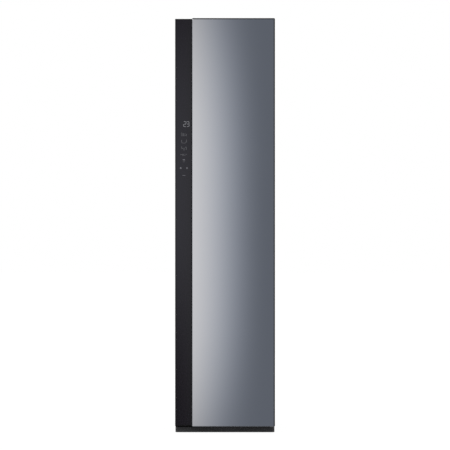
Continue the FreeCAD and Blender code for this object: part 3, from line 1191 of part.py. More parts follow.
def make_hanger():
    """One clothes hanger, hooked over the bar's middle notch with its shoulders front to back."""
    wire, radius, middle = number("hook_wire"), number("hook_radius"), number("chamber_mid_y")
    centre = Vector(0, middle, number("hook_z"))
    neck = number("hook_z - hook_radius - hook_neck")
    tip = centre + Vector(0, radius, 0)
    top, far = centre + Vector(0, 0, radius), centre - Vector(0, radius, 0)
    foot = centre - Vector(0, 0, radius)
    path = Part.Wire([
        Part.Arc(tip, top, far).toShape(),
        Part.Arc(far, centre + Vector(0, -radius, -radius) * math.sqrt(0.5), foot).toShape(),
    ])
    profile = Part.Wire(Part.Circle(tip, Vector(0, 0, 1), wire).toShape())
    hook = path.makePipeShell([profile], True, False)
    stem = Part.makeCylinder(wire, number("hook_neck"), foot, Vector(0, 0, -1))
    half, drop, deep = number("hanger_half"), number("hanger_drop"), number("hanger_depth")
    thick = number("hanger_thick")
    start = Vector(-thick / 2, middle, neck + wire * 2)
    slope = [(0.22, 0.12), (0.6, 0.5), (1, 1)]
    shares = [(-y, z) for y, z in reversed(slope)] + [(0, 0)] + slope
    arch = Part.BSplineCurve()
    arch.interpolate([start + Vector(0, y * half, -z * drop) for y, z in shares])
    under = arch.copy()
    under.translate(Vector(0, 0, -deep))
    left_end = Part.LineSegment(arch.StartPoint, under.StartPoint).toShape()
    right_end = Part.LineSegment(under.EndPoint, arch.EndPoint).toShape()
    outline = Part.Wire([arch.toShape(), right_end, under.toShape(), left_end])
    shoulders = Part.Face(outline).extrude(Vector(thick, 0, 0))
    hanger = doc.addObject("Part::Feature", "clothes_hanger")
    hanger.Shape = hook.fuse([stem, shoulders]).removeSplitter()
    node("clothes_hanger", hanger)


# ---------------------------------------------------------------- door
def door_hollow(gap):
    """The outline of the case's hollow, less a gap all round. It steps round the solid hinge corners."""
    low, high = f"door_bottom + end_wall + {gap}", f"case_top - end_wall - {gap}"
    corner_x = f"hinge_x - hinge_in - pin_radius - {gap}"
    corner_low, corner_high = f"door_bottom + 2 * pin_length + {gap}", f"case_top - 2 * pin_length - {gap}"
    wall_x = f"half_width - case_wall - {gap}"
    return poly((f"-({wall_x})", low), (corner_x, low), (corner_x, corner_low), (wall_x, corner_low),
                (wall_x, corner_high), (corner_x, corner_high), (corner_x, high), (f"-({wall_x})", high))


def carrier_hollow(gap):
    """The outline of the hollow in the carrier behind the mirror, less a gap all round."""
    return rect(f"carrier_x + case_wall + {gap}", f"door_bottom + end_wall + {gap}",
                f"hinge_x - hinge_in - pin_radius - {gap}", f"case_top - end_wall - {gap}")


def make_door_case():
    """The door's moulded case: a tray open at the back, a carrier under the mirror, a lip for the strip."""
    case = Piece("door_case")
    case.pad("XY", "door_bottom", "case_top - door_bottom",
             rect("-half_width", "case_y", "half_width", "door_back_y"))
    carrier = ("carrier_x", "glass_back_y", "half_width - trim_edge", "case_y")
    case.pad("XY", "door_bottom + trim_edge", "height - door_bottom - 2 * trim_edge", rect(*carrier))
    case.pad("XY", "case_top", "case_drop - strip_drop",
             rect("-half_width", "case_y", "carrier_x + grip_reach", "case_y + lip"))
    case.pocket("XZ", "case_y + case_wall", "door_body - strip_glass - case_wall", door_hollow("0"))
    case.pocket("XZ", "glass_back_y + case_wall", "case_y - glass_back_y", carrier_hollow("0"))
    case.pocket("XZ", "case_y", "case_wall",
                rect("strip_mid - display_width / 2 - display_play",
                     "display_mid - display_height / 2 - display_play",
                     "strip_mid + display_width / 2 + display_play",
                     "display_mid + display_height / 2 + display_play"))
    for start in ("door_bottom", "case_top - pin_length"):
        case.pocket("XY", start, "pin_length",
                    disc("hinge_x", "hinge_y", "pin_radius + bush_wall + pin_play"))
    core = Piece("door_core")
    core.pad("XZ", "case_y + case_wall + board_room",
             "door_body - strip_glass - case_wall - board_room - door_liner_thick", door_hollow("fit_gap"))
    core.pad("XZ", "glass_back_y + case_wall + fit_gap", "case_y + board_room - glass_back_y - fit_gap",
             carrier_hollow("fit_gap"))
    bushes = []
    for start in ("door_bottom", "case_top - pin_length"):
        ring = rod("hinge_x", "hinge_y", start, "pin_radius + bush_wall", "pin_length")
        bushes.append(cut(ring, rod("hinge_x", "hinge_y", start, "pin_radius + pin_play", "pin_length")))
    group("hinge_bushes", *bushes)


def make_door_front():
    """What shows from the front: the mirror in its trim, and the black control strip beside it."""
    trim = Piece("mirror_trim")
    outer = ("mirror_left", "door_bottom", "half_width", "height", "mirror_corner")
    glass = ("mirror_left + trim_edge", "door_bottom + trim_edge", "half_width - trim_side",
             "height - trim_top", "mirror_corner / 2")
    trim.pad("XZ", "front_y", "trim_depth", rounded(*outer))
    trim.pocket("XZ", "front_y", "mirror_glass", rounded(*glass))
    play = "fit_gap / 3"
    trim.pocket("XZ", "glass_back_y", "trim_depth - mirror_glass",
                rect("carrier_x - fit_gap", f"door_bottom + trim_edge - {play}",
                     f"half_width - trim_edge + {play}", f"height - trim_edge + {play}"))
    trim.pocket("XZ", "glass_back_y + grip_plate", "trim_depth - mirror_glass - grip_plate",
                rect("mirror_left - trim_edge", "door_bottom - trim_edge", "carrier_x - fit_gap",
                     "height + trim_edge"))
    mirror = Piece("mirror_glass")
    mirror.pad("XZ", "front_y", "mirror_glass",
               rounded(f"mirror_left + trim_edge + {play}", f"door_bottom + trim_edge + {play}",
                       f"half_width - trim_side - {play}", f"height - trim_top - {play}",
                       "mirror_corner / 2"))
    strip = Piece("control_strip")
    strip.pad("XZ", "strip_y", "strip_glass",
              rect("-half_width + strip_edge", "door_bottom + strip_edge", "carrier_x - fit_gap",
                   "height - strip_drop - strip_edge"))
    board = Piece("display_board")
    left, right = "strip_mid - display_width / 2", "strip_mid + display_width / 2"
    low, high = "display_mid - display_height / 2", "display_mid + display_height / 2"
    front = "case_y + fit_gap"
    board.pad("XZ", f"{front} + chip_height", "board_thick", rect(left, low, right, high))
    digits = rect(f"{left} + 2 * key_radius", f"{high} - 10 * key_radius", f"{right} - key_radius",
                  f"{high} - 3 * key_radius")
    keys = [disc("strip_mid", f"{low} + ({n} + 1) * key_pitch", "key_radius")
            for n in range(round(number("key_count")))]
    board.pad("XZ", front, "chip_height", digits, *keys)
    chips = [rect(f"{left} + 2 * key_radius", f"{low} + {start} * key_pitch", f"{left} + {wide} * key_radius",
                  f"{low} + {end} * key_pitch") for start, end, wide in ((1, 1.5, 7), (4, 4.6, 5))]
    board.pad("XZ", f"{front} + chip_height + board_thick", "chip_height", *chips)


def make_door_inside():
    """The door's inner face: a sheet with a dike set on it, and a magnetic gasket round the chamber's mouth."""
    sheet = Piece("liner_sheet", whole=False)
    sheet.pad("XZ", "door_back_y - door_liner_thick", "door_liner_thick", door_hollow("fit_gap"))
    dike = ["-chamber_x + dike_inset", "chamber_floor + chamber_sill + dike_inset",
            "chamber_x - dike_inset", "ceiling - chamber_sill - dike_inset"]
    inner = [f"{edge} {sign} dike_wall" for edge, sign in zip(dike, "++--")]
    ring = Piece("liner_dike", whole=False)
    ring.pad("XZ", "door_back_y", "dike_height", rounded(*dike, "rib_width"), rounded(*inner, "rib_width / 2"))
    group("door_liner", sheet.body, ring.body)
    gasket = Piece("door_gasket")
    inside = ["-gasket_x", "gasket_bottom", "gasket_x", "gasket_top"]
    bulb = [f"{edge} {sign} gasket_lip / 2" for edge, sign in zip(inside, "--++")]
    outside = [f"{edge} {sign} gasket_width" for edge, sign in zip(inside, "--++")]
    gasket.pad("XZ", "door_back_y", "gasket_base", rounded(*outside, "gasket_corner + gasket_width"),
               rounded(*inside, "gasket_corner"))
    wide = [f"{edge} {sign} (gasket_width - gasket_lip / 2)" for edge, sign in zip(inside, "--++")]
    gasket.pad("XZ", "door_back_y + gasket_base", "seal_gap - gasket_base - fit_gap",
               rounded(*wide, "gasket_corner + gasket_width - gasket_lip / 2"),
               rounded(*bulb, "gasket_corner + gasket_lip / 2"))


def lug_places():
    """The press hinge's three lugs, as the height of each one's lower end."""
    span = "press_top - press_bottom - 2 * press_lug_end"
    for n in range(3):
        yield f"press_bottom + press_lug_end + {n} / 2 * ({span}) - press_lug / 2"


def make_press():
    """The trouser press: a board on the door with lugs, pins and a hook, and a plate that swings on them."""
    board = Piece("press_board")
    right = "press_hinge_x + press_knuckle"
    middle = "(press_left + press_hinge_x) / 2"
    board.pad("XZ", "door_back_y", "press_board_thick",
              rounded("press_left", "press_bottom", right, "press_top", "press_knuckle"))
    board.pad("XZ", "door_back_y", "press_board_thick",
              rounded(f"{middle} - hook_width / 2", "press_top - hook_width / 4",
                      f"{middle} + hook_width / 2", "press_top + hook_rise", "rib_width"))
    board.pad("XZ", "door_back_y + press_board_thick", "press_plate_thick",
              rounded(f"{middle} - hook_width / 2 + hook_lip", "press_top + hook_width / 2",
                      f"{middle} + hook_width / 2 - hook_lip", "press_top + hook_width / 2 + hook_lip",
                      "press_pin"))
    for low in lug_places():
        for z in (f"{low} - press_knuckle - fit_gap", f"{low} + press_lug + fit_gap"):
            board.pad("XY", z, "press_knuckle",
                      rect("press_hinge_x - press_knuckle", "door_back_y", "press_hinge_x + press_knuckle",
                           "press_hinge_y"))
            board.pad("XY", z, "press_knuckle", disc("press_hinge_x", "press_hinge_y", "press_knuckle"))
        board.pad("XY", f"{low} - press_knuckle", "press_lug + 2 * press_knuckle",
                  disc("press_hinge_x", "press_hinge_y", "press_pin"))
    plate = Piece("press_plate")
    edge = "press_hinge_x - press_knuckle - press_gap / 2"
    plate.pad("XZ", "press_y", "press_plate_thick",
              rounded("press_left", "press_bottom", edge, "press_top", "rib_width"))
    for low in lug_places():
        plate.pad("XY", low, "press_lug",
                  rect(f"{edge} - press_gap", "press_hinge_y - press_knuckle", "press_hinge_x",
                       "press_hinge_y + press_knuckle"))
        plate.pad("XY", low, "press_lug", disc("press_hinge_x", "press_hinge_y", "press_knuckle"))
    plate.pocket("XY", "press_bottom", "press_top - press_bottom",
                 disc("press_hinge_x", "press_hinge_y", "press_pin + pin_play"))
    middle = "(press_bottom + press_top) / 2"
    plate.pad("XZ", "press_y + press_plate_thick", "press_knuckle",
              rounded("press_left + press_knuckle", f"{middle} - press_handle * 2",
                      "press_left + press_handle / 2 + press_knuckle", f"{middle} + press_handle * 2",
                      "press_pin"))


def check_and_export():
    """Stops on any failed object, then writes one STEP file for each sub-part."""
    doc.recompute()
    for thing in doc.Objects:
        if "Invalid" in thing.State or "Error" in thing.State:
            raise ValueError(f"{thing.Name} ({thing.Label}) failed: {thing.State}")
        base = getattr(thing, "BaseFeature", None)
        if thing.TypeId == "PartDesign::Pocket" and thing.Shape.Volume > base.Shape.Volume - 1e-6:
            raise ValueError(f"{thing.Name} cuts nothing from {base.Name}")
    os.makedirs("parts", exist_ok=True)
    for label, thing in NODES.items():
        if thing.Shape.isNull() or not thing.Shape.isValid() or not thing.Shape.Solids:
            raise ValueError(f"{label} has no valid solid")
        thing.Shape.exportStep(f"parts/{label}.step")


make_plinth()
make_base()
make_side_panel("side_panel_left", -1)
make_side_panel("side_panel_right", 1)
make_back_panel()
make_top_cover()
make_front_frame()
make_hinges()
make_fasteners()
make_insulation()
make_liners()
make_lamp()
make_shelf()
make_tank_bay()
make_tank("supply_tank", 1)
make_tank("drain_tank", -1)
make_intake()
make_heat_pump_duct()
for coil_label, coil_place in zip(("evaporator", "condenser"), COILS):
    make_coil(coil_label, *coil_place)
make_blower()
make_grille()
make_compressor()
make_pipes()
make_hoses(*make_steam_generator())
make_pumps()
make_control_box()
make_mechanism()
make_shaker()
make_hanger()
make_door_case()
make_door_front()
make_door_inside()
make_press()
check_and_export()
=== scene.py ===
"""The finish of a slim clothes care steam cabinet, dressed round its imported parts, in metres.

The front faces -Y, +Z is up and the origin is on the floor under the cabinet's middle.
"""

import json
import math

import bpy
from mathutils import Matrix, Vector

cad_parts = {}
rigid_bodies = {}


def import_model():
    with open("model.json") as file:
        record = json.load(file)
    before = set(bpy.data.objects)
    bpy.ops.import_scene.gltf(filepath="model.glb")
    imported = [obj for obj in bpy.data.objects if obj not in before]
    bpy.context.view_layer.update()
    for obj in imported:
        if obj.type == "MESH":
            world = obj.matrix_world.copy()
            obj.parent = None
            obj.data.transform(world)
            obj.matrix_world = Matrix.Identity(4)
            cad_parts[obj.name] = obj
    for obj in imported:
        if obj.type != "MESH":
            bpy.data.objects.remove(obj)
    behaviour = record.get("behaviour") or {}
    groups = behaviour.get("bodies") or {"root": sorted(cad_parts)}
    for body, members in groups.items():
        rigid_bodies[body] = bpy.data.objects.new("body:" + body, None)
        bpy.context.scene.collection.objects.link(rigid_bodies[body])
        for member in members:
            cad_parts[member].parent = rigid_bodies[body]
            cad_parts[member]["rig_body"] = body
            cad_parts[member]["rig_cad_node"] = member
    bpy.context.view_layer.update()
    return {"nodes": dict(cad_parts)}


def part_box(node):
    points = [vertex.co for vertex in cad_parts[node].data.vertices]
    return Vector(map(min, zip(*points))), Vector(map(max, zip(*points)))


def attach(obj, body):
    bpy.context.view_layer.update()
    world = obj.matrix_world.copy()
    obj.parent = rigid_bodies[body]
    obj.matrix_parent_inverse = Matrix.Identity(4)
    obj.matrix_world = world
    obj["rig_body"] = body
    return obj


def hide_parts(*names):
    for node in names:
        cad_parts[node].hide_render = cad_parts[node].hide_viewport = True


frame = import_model()
nodes = frame["nodes"]


# ---------------------------------------------------------------- the view
# A camera on a stand at half the door's height, well back, so that the tall door keeps its straight sides.
# The long lens takes in the whole cabinet with white round it.
door_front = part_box("mirror_glass")[0].y
stand_off = 9.0
eye_aside, eye_height = 0.0001, 0.929
metres_per_pixel = 0.004452
frame_pixels = 450
sensor_millimetres = 36
room_size = 60
eye = Vector((eye_aside, door_front - stand_off, eye_height))
bpy.ops.object.camera_add(location=eye, rotation=(math.pi / 2, 0, 0))
camera = bpy.context.object
camera.name = "camera"
camera.data.sensor_width = sensor_millimetres
camera.data.lens = stand_off / metres_per_pixel / frame_pixels * sensor_millimetres
camera.data.clip_end = room_size
bpy.context.scene.camera = camera
bpy.context.scene.view_settings.view_transform = "Standard"


# ---------------------------------------------------------------- studio
# A white floor that keeps a soft shadow, a bright room all round, and three soft lamps. The curved wall is a
# card that only polished surfaces see: bright on the left, dark on the right, dimmer to its top and foot.
class Wire:
    """A value that runs through a material. Sums on it add Math nodes, and tap() adds any other node."""

    def __init__(self, tree, socket):
        self.tree, self.socket = tree, socket

    def tap(self, kind, inputs, output=0, **settings):
        node = self.tree.nodes.new("ShaderNode" + kind)
        for name, value in settings.items():
            setattr(node, name, value)
        for name, value in inputs.items():
            if isinstance(value, Wire):
                self.tree.links.new(value.socket, node.inputs[name])
            else:
                node.inputs[name].default_value = value
        return Wire(self.tree, node.outputs[output]) if node.outputs else None

    def sum(self, operation, *values):
        return self.tap("Math", dict(enumerate(values)), operation=operation)

    def __add__(self, other):
        return self.sum("ADD", self, other)

    def __sub__(self, other):
        return self.sum("SUBTRACT", self, other)

    def __rsub__(self, other):
        return self.sum("SUBTRACT", other, self)

    def __mul__(self, other):
        return self.sum("MULTIPLY", self, other)

    def __truediv__(self, other):
        return self.sum("DIVIDE", self, other)

    def __pow__(self, other):
        return self.sum("POWER", self, other)

    __radd__, __rmul__ = __add__, __mul__

    def clip(self):
        return self.tap("Clamp", {"Value": self})

    def ease(self, low, high):
        """0 below low, 1 above high and smooth between them."""
        return self.tap("MapRange", {"Value": self, "From Min": low, "From Max": high},
                        interpolation_type="SMOOTHSTEP")

    def blend(self, first, second):
        """A colour between two others, first where this is 0 and second where it is 1."""
        tint = self.tree.nodes.new("ShaderNodeMix")
        tint.data_type = "RGBA"
        self.tree.links.new(self.socket, tint.inputs[0])
        for place, end in ((6, first), (7, second)):
            if isinstance(end, Wire):
                self.tree.links.new(end.socket, tint.inputs[place])
            else:
                tint.inputs[place].default_value = (*end, 1)
        return Wire(self.tree, tint.outputs[2])


def room_material(name):
    """A material with an empty tree, and a wire that is 1 for what is looked at straight."""
    material = bpy.data.materials.new(name)
    material.use_nodes = True
    tree = material.node_tree
    tree.nodes.clear()
    return material, Wire(tree, tree.nodes.new("ShaderNodeLightPath").outputs["Is Camera Ray"])


room_light = 0.62
world = bpy.data.worlds.new("room")
world.use_nodes = True
bpy.context.scene.world = world
air = world.node_tree
rays = air.nodes.new("ShaderNodeLightPath")
seen = Wire(air, rays.outputs["Is Camera Ray"])
looked_at = seen.sum("MAXIMUM", seen, Wire(air, rays.outputs["Is Transmission Ray"]))
strength = looked_at * (1 - room_light) + room_light
air.nodes["Background"].inputs["Color"].default_value = (1, 1, 1, 1)
air.links.new(strength.socket, air.nodes["Background"].inputs["Strength"])

# Where the floor is looked at straight it glows white, except under the cabinet's foot.
bpy.ops.mesh.primitive_plane_add(size=room_size)
floor = bpy.context.object
floor.name = "studio_floor"
floor.visible_glossy = False
material, seen = room_material("floor_white")
floor_glow, floor_lift = 0.86, 1.09
foot_half_x, foot_half_y, foot_edge = 0.21, 0.215, 0.004
ground = seen.tap("TexCoord", {}, output="Object")
outside = []
for letter, half in (("X", foot_half_x), ("Y", foot_half_y)):
    beside = ground.tap("SeparateXYZ", {"Vector": ground}, output=letter)
    outside.append(beside.sum("ABSOLUTE", beside).ease(half - foot_edge, half + foot_edge))
outside = seen.sum("MAXIMUM", *outside)
paper = seen.tap("BsdfDiffuse", {"Color": (0.82, 0.82, 0.82, 1)})
glow = seen.tap("Emission", {"Color": (1, 1, 1, 1), "Strength": floor_lift})
mixed = seen.tap("MixShader", {0: seen * outside * floor_glow, 1: paper, 2: glow})
seen.tap("OutputMaterial", {"Surface": mixed})
floor.data.materials.append(material)

wall_radius = 6.0
wall_tall = 16.0
wall_sides = 256
bpy.ops.mesh.primitive_cylinder_add(vertices=wall_sides, radius=wall_radius, depth=wall_tall,
                                    end_fill_type="NOTHING", location=(0, 0, eye.z))
wall = bpy.context.object
wall.name = "studio_card"
wall.visible_camera = wall.visible_diffuse = wall.visible_shadow = wall.visible_volume_scatter = False
wall.visible_transmission = False
bpy.ops.object.transform_apply(location=True)
bpy.ops.object.shade_smooth()
material, seen = room_material("card_light")
place = seen.tap("TexCoord", {}, output="Object")
x, y, z = (place.tap("SeparateXYZ", {"Vector": place}, output=n) for n in range(3))
# The card's places are scaled down to the door's plane, where the reflection is laid out in metres.
spread = 1 + (wall_radius + door_front) / stand_off
left_light, light_width = -0.1783, 0.4007
across = (x / spread - left_light) / light_width
rise = (z - eye.z) / spread


def lost(distance, reach, curve, most):
    """The share of light lost towards an end of the card: none at its middle, and the most at its reach."""
    return (distance / reach) ** curve * most


up = rise.sum("MAXIMUM", rise, 0)
down = rise.sum("MAXIMUM", rise * -1, 0)
faintest, glow_curve, end_curve = 0.12, 1.4, 2.8
dim = 1 - lost(up, reach=0.913, curve=3, most=0.32) - lost(down, reach=0.886, curve=3.3, most=0.38)
dim = dim.sum("MAXIMUM", dim, faintest)
glow = (1 - across).ease(0, 1) ** glow_curve * (1 - across).clip() ** ((1 - dim) * end_curve)
shade_from, shade_to = 0.12, 0.75
shade = (x / wall_radius).ease(shade_from, shade_to)
glow_light, shade_light, base_light = 0.51, 0.34, 0.128
light = glow * dim * glow_light + shade * shade_light + base_light
# Left of the mirror's share the card is bright behind the strip's middle and fades sooner to both ends.
strip_middle, strip_foot, foot_loss = 0.11, 0.80, 0.94
strip_faintest, strip_light = 0.06, 0.62
above = rise - strip_middle
above = above.sum("MAXIMUM", above, 0)
strip_dim = 1 - lost(above, reach=0.8, curve=2.2, most=0.70)
strip_dim = strip_dim - (rise * -1).ease(-strip_middle, strip_foot) * foot_loss
strip_dim = strip_dim.sum("MAXIMUM", strip_dim, strip_faintest)
mirror_from, mirror_to = 0.045, 0.075
mirror_share = across.ease(mirror_from, mirror_to)
light = light.tap("Mix", {"Factor": mirror_share, "A": strip_dim * strip_light, "B": light})
# Away from the straight reflection the wall is pale, with broad soft bands that lean over.
away_from, away_to, ahead_share = 0.4, 1.4, 0.9
ahead = (y * -1).ease(0, wall_radius * ahead_share)
away = (across * -1).ease(away_from, away_to)
away = away.sum("MAXIMUM", away, 1 - ahead)
band_count, band_lean, band_swing, band_light = 17, 1.3, 0.22, 0.38
bearing = x.sum("ARCTAN2", x, y * -1)
bands = bearing.sum("SINE", bearing * band_count + rise * band_lean)
light = light * (1 - away) + (bands * band_swing + band_light) * away
# The light is cool where it is faint, and warm where it is bright or far from the middle.
strip_warmth, mirror_warmth = 0.2, 0.6
away_warmth, shade_warmth = 0.5, 0.75
cool, warm = (0.91, 0.995, 1.18), (1.025, 0.985, 0.945)
warmth = glow * (mirror_share * mirror_warmth + strip_warmth) + away * away_warmth + shade * shade_warmth
tint = warmth.clip().blend(cool, warm)
seen.tap("OutputMaterial", {"Surface": seen.tap("Emission", {"Color": tint, "Strength": light})})
wall.data.materials.append(material)

# Each lamp has a place, a point that it faces, the side of its square in metres, and its power in watts.
for name, place, aim, size, power in (
    ("key_lamp", (-2.6, -3.2, 3.4), (0, 0, 0.95), 2.4, 62),
    ("fill_lamp", (3.1, -2.4, 2.2), (0, 0, 0.9), 2.8, 34),
    ("back_lamp", (0.4, 3.6, 3.0), (0, 0, 0.9), 2.6, 44),
):
    bpy.ops.object.light_add(type="AREA", location=place)
    lamp = bpy.context.object
    lamp.name = name
    lamp.data.size = size
    lamp.data.energy = power
    lamp.rotation_euler = (Vector(aim) - Vector(place)).to_track_quat("-Z", "Y").to_euler()


# ---------------------------------------------------------------- levelling feet
# Four screw feet with a rubber pad each, threaded into bosses of the base tray.
# Their pads stand on the floor and carry the whole cabinet.
def only(thing):
    """Leaves one object selected and active."""
    bpy.ops.object.select_all(action="DESELECT")
    thing.select_set(True)
    bpy.context.view_layer.objects.active = thing


def eased(node, name, radius, steps=2, turn=32, cut=False):
    """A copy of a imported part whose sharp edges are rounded, as moulding, folding or grinding leaves them.

    An edge is rounded where its faces turn by more than the given degrees. A part whose flat faces have holes
    in them is cut into triangles first.
    """
    same_point, flat_turn, smooth_turn = 0.00002, 0.6, 34
    piece = nodes[node].copy()
    piece.data = nodes[node].data.copy()
    piece.name = name
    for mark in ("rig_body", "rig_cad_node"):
        del piece[mark]
    piece.parent = None
    bpy.context.collection.objects.link(piece)
    only(piece)
    bpy.ops.object.mode_set(mode="EDIT")
    bpy.ops.mesh.select_all(action="SELECT")
    bpy.ops.mesh.remove_doubles(threshold=same_point)
    bpy.ops.mesh.dissolve_limited(angle_limit=math.radians(flat_turn))
    if cut:
        bpy.ops.mesh.quads_convert_to_tris(ngon_method="BEAUTY")
    bpy.ops.object.mode_set(mode="OBJECT")
    if radius:
        soft = piece.modifiers.new("soft", "BEVEL")
        soft.width, soft.segments = radius, steps
        soft.limit_method, soft.angle_limit = "ANGLE", math.radians(turn)
        soft.use_clamp_overlap = True
        soft.miter_outer = "MITER_ARC"
        bpy.ops.object.modifier_apply(modifier="soft")
    bpy.ops.object.shade_smooth_by_angle(angle=math.radians(smooth_turn))
    flat = piece.modifiers.new("flat", "WEIGHTED_NORMAL")
    flat.keep_sharp = True
    bpy.ops.object.modifier_apply(modifier="flat")
    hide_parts(node)
    return piece


class Finish:
    """A material made of one Principled shader, with wires from the place on the object."""

    def __init__(self, name, roughness, metallic=0.0, **fixed):
        self.material = bpy.data.materials.new(name)
        self.material.use_nodes = True
        self.tree = self.material.node_tree
        self.shader = self.tree.nodes["Principled BSDF"]
        self.shader.inputs["Roughness"].default_value = roughness
        self.shader.inputs["Metallic"].default_value = metallic
        for socket, value in fixed.items():
            self.shader.inputs[socket.replace("_", " ")].default_value = value
        place = self.tree.nodes.new("ShaderNodeTexCoord")
        self.place = Wire(self.tree, place.outputs["Object"])

    def feed(self, socket, wire):
        self.tree.links.new(wire.socket, self.shader.inputs[socket])

    def axis(self, letter):
        return self.place.tap("SeparateXYZ", {"Vector": self.place}, output=letter)

    def within(self, left, right, bottom, top):
        """How far inside an upright rectangle's edges a place is, in metres."""
        x, z = self.axis("X"), self.axis("Z")
        across = x.sum("MINIMUM", x - left, right - x)
        return across.sum("MINIMUM", across, z.sum("MINIMUM", z - bottom, top - z))

    def grain(self, scale, detail=3.0, squeeze=(1, 1, 1)):
        """Fine noise from 0 to 1, with so many grains a metre. Squeeze packs them closer along an axis."""
        place = self.place.tap("Mapping", {"Vector": self.place, "Scale": squeeze})
        return place.tap("TexNoise", {"Vector": place, "Scale": scale, "Detail": detail})

    def shades(self, dark, light, grain):
        """Base colour between two shades of the same finish."""
        self.feed("Base Color", grain.ease(0.3, 0.7).blend(dark, light))

    def roughen(self, grain, roughness, swing):
        """Roughness that swings about its middle with the grain."""
        self.feed("Roughness", grain * swing + (roughness - swing / 2))

    def relief(self, height, depth, strength=1.0):
        """Small hills of a depth in metres, at a strength from 0 to 1."""
        hills = {"Height": height, "Distance": depth, "Strength": strength}
        self.feed("Normal", height.tap("Bump", hills, output="Normal"))

    def on(self, *things):
        for thing in things:
            thing.data.materials.clear()
            thing.data.materials.append(self.material)


def rubbery(name, dark, light, roughness=0.78):
    """Matt rubber with a dusty bloom in its grain."""
    finish = Finish(name, roughness)
    bloom = finish.grain(60, detail=4)
    finish.shades(dark, light, bloom)
    finish.roughen(bloom, roughness, swing=0.2)
    finish.relief(finish.grain(700, detail=2), depth=0.00004, strength=0.6)
    return finish


foot_rubber = rubbery("foot_rubber", (0.018, 0.018, 0.019), (0.032, 0.032, 0.033))
feet = eased("levelling_feet", "levelling_screw_feet", 0.0012)
foot_rubber.on(feet)
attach(feet, "cabinet")


# ---------------------------------------------------------------- base tray and plinth
# A folded zinc-coated tray carries the machine room. In front of it a moulded skirt closes the gap under the
# door; it is pressed on to the tray's front wall.
def coated(name, dark, light, roughness, crystals=55):
    """Zinc-coated sheet: flat crystals that catch the light each in its own way, and faint rolling lines."""
    finish = Finish(name, roughness, metallic=1.0)
    crystal = finish.place.tap("TexVoronoi", {"Vector": finish.place, "Scale": crystals}, output="Color")
    flake = crystal.tap("SeparateColor", {"Color": crystal})
    finish.feed("Base Color", flake.blend(dark, light))
    rolled = finish.grain(40, squeeze=(1, 1, 12))
    swing = 0.1
    finish.feed("Roughness", flake * swing + rolled * swing + (roughness - swing))
    finish.relief(rolled, depth=0.00002, strength=0.35)
    return finish


def moulded(name, dark, light, roughness, grains=900):
    """Injection-moulded plastic: an even colour with a faint flow, and a fine etched grain."""
    finish = Finish(name, roughness)
    finish.shades(dark, light, finish.grain(7, detail=2))
    etched = finish.grain(grains, detail=2)
    finish.roughen(etched, roughness, swing=0.12)
    finish.relief(etched, depth=0.00003, strength=0.5)
    return finish


tray_zinc = coated("tray_zinc", (0.50, 0.52, 0.54), (0.57, 0.59, 0.61), 0.4)
tray = eased("base_pan", "base_tray", 0.0008)
tray_zinc.on(tray)
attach(tray, "cabinet")

skirt_grey = moulded("skirt_grey", (0.024, 0.024, 0.025), (0.031, 0.031, 0.033), 0.5)
skirt = eased("plinth", "plinth_skirt", 0.0012)
skirt_grey.on(skirt)
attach(skirt, "cabinet")


# ---------------------------------------------------------------- compressor and heat pump
# A black enamelled can on rubber feet, copper pipes brazed to it, and two finned coils in a moulded duct with
# the blower behind them.
def painted(name, colour, roughness, **fixed):
    """Sprayed and baked paint: one colour with a fine orange peel."""
    finish = Finish(name, roughness, **fixed)
    darker, lighter = 0.94, 1.05
    dark = tuple(c * darker for c in colour)
    light = tuple(c * lighter for c in colour)
    finish.shades(dark, light, finish.grain(5, detail=2))
    peel = finish.grain(260, detail=2)
    finish.roughen(peel, roughness, swing=0.06)
    finish.relief(peel, depth=0.00004, strength=0.35)
    return finish


enamel = painted("black_enamel", (0.012, 0.012, 0.012), 0.28, Coat_Weight=0.3)
enamel.on(nodes["compressor"])
mount_rubber = rubbery("mount_rubber", (0.02, 0.02, 0.02), (0.04, 0.04, 0.04))
mount_rubber.on(nodes["compressor_mounts"])

copper_rough = 0.325
pipe_copper = Finish("pipe_copper", copper_rough, metallic=1.0)
tarnish = pipe_copper.grain(30, detail=4)
pipe_copper.shades((0.50, 0.22, 0.12), (0.82, 0.45, 0.30), tarnish)
pipe_copper.roughen(tarnish, copper_rough, swing=0.25)
pipe_copper.on(nodes["refrigerant_pipes"])

fin_pitch, fin_rough = 0.0018, 0.36
fins = Finish("coil_fins", fin_rough, metallic=1.0)
along = fins.axis("X")
comb = along.sum("PINGPONG", along, fin_pitch / 2) / (fin_pitch / 2)
# The gaps between the fins are painted dark for the shade that falls between them, and sunk by the bump.
gap = comb.ease(0.45, 0.75)
fins.feed("Base Color", gap.blend((0.70, 0.72, 0.74), (0.10, 0.11, 0.12)))
fins.roughen(fins.grain(90), fin_rough, swing=0.2)
fins.relief(gap * -1, depth=0.0006, strength=0.9)
fins.on(nodes["evaporator"], nodes["condenser"])

duct_black = moulded("duct_black", (0.014, 0.014, 0.015), (0.022, 0.022, 0.023), 0.55)
duct_black.on(nodes["heat_pump_duct"], nodes["blower_housing"], nodes["blower_impeller"])

motor_zinc = coated("motor_zinc", (0.37, 0.38, 0.39), (0.42, 0.43, 0.44), 0.36, crystals=240)
motor_zinc.on(nodes["blower_motor"], nodes["shake_motor"])


# ---------------------------------------------------------------- steam, water and controls
# A boiler and two pumps stand in the tray with rubber hoses between them, beside the electronics case. The
# hoses are pushed over ribbed stubs.
boiler_nylon = moulded("boiler_nylon", (0.62, 0.59, 0.50), (0.70, 0.67, 0.58), 0.5)
boiler_nylon.on(nodes["steam_generator"])
pump_body = moulded("pump_body", (0.035, 0.04, 0.055), (0.05, 0.055, 0.07), 0.42)
pump_body.on(nodes["water_pumps"])
case_white = moulded("case_white", (0.68, 0.68, 0.66), (0.74, 0.74, 0.72), 0.55)
case_white.on(nodes["control_box"])
hose_grey = rubbery("hose_grey", (0.18, 0.18, 0.18), (0.25, 0.25, 0.25))
hose_grey.on(nodes["water_hoses"])


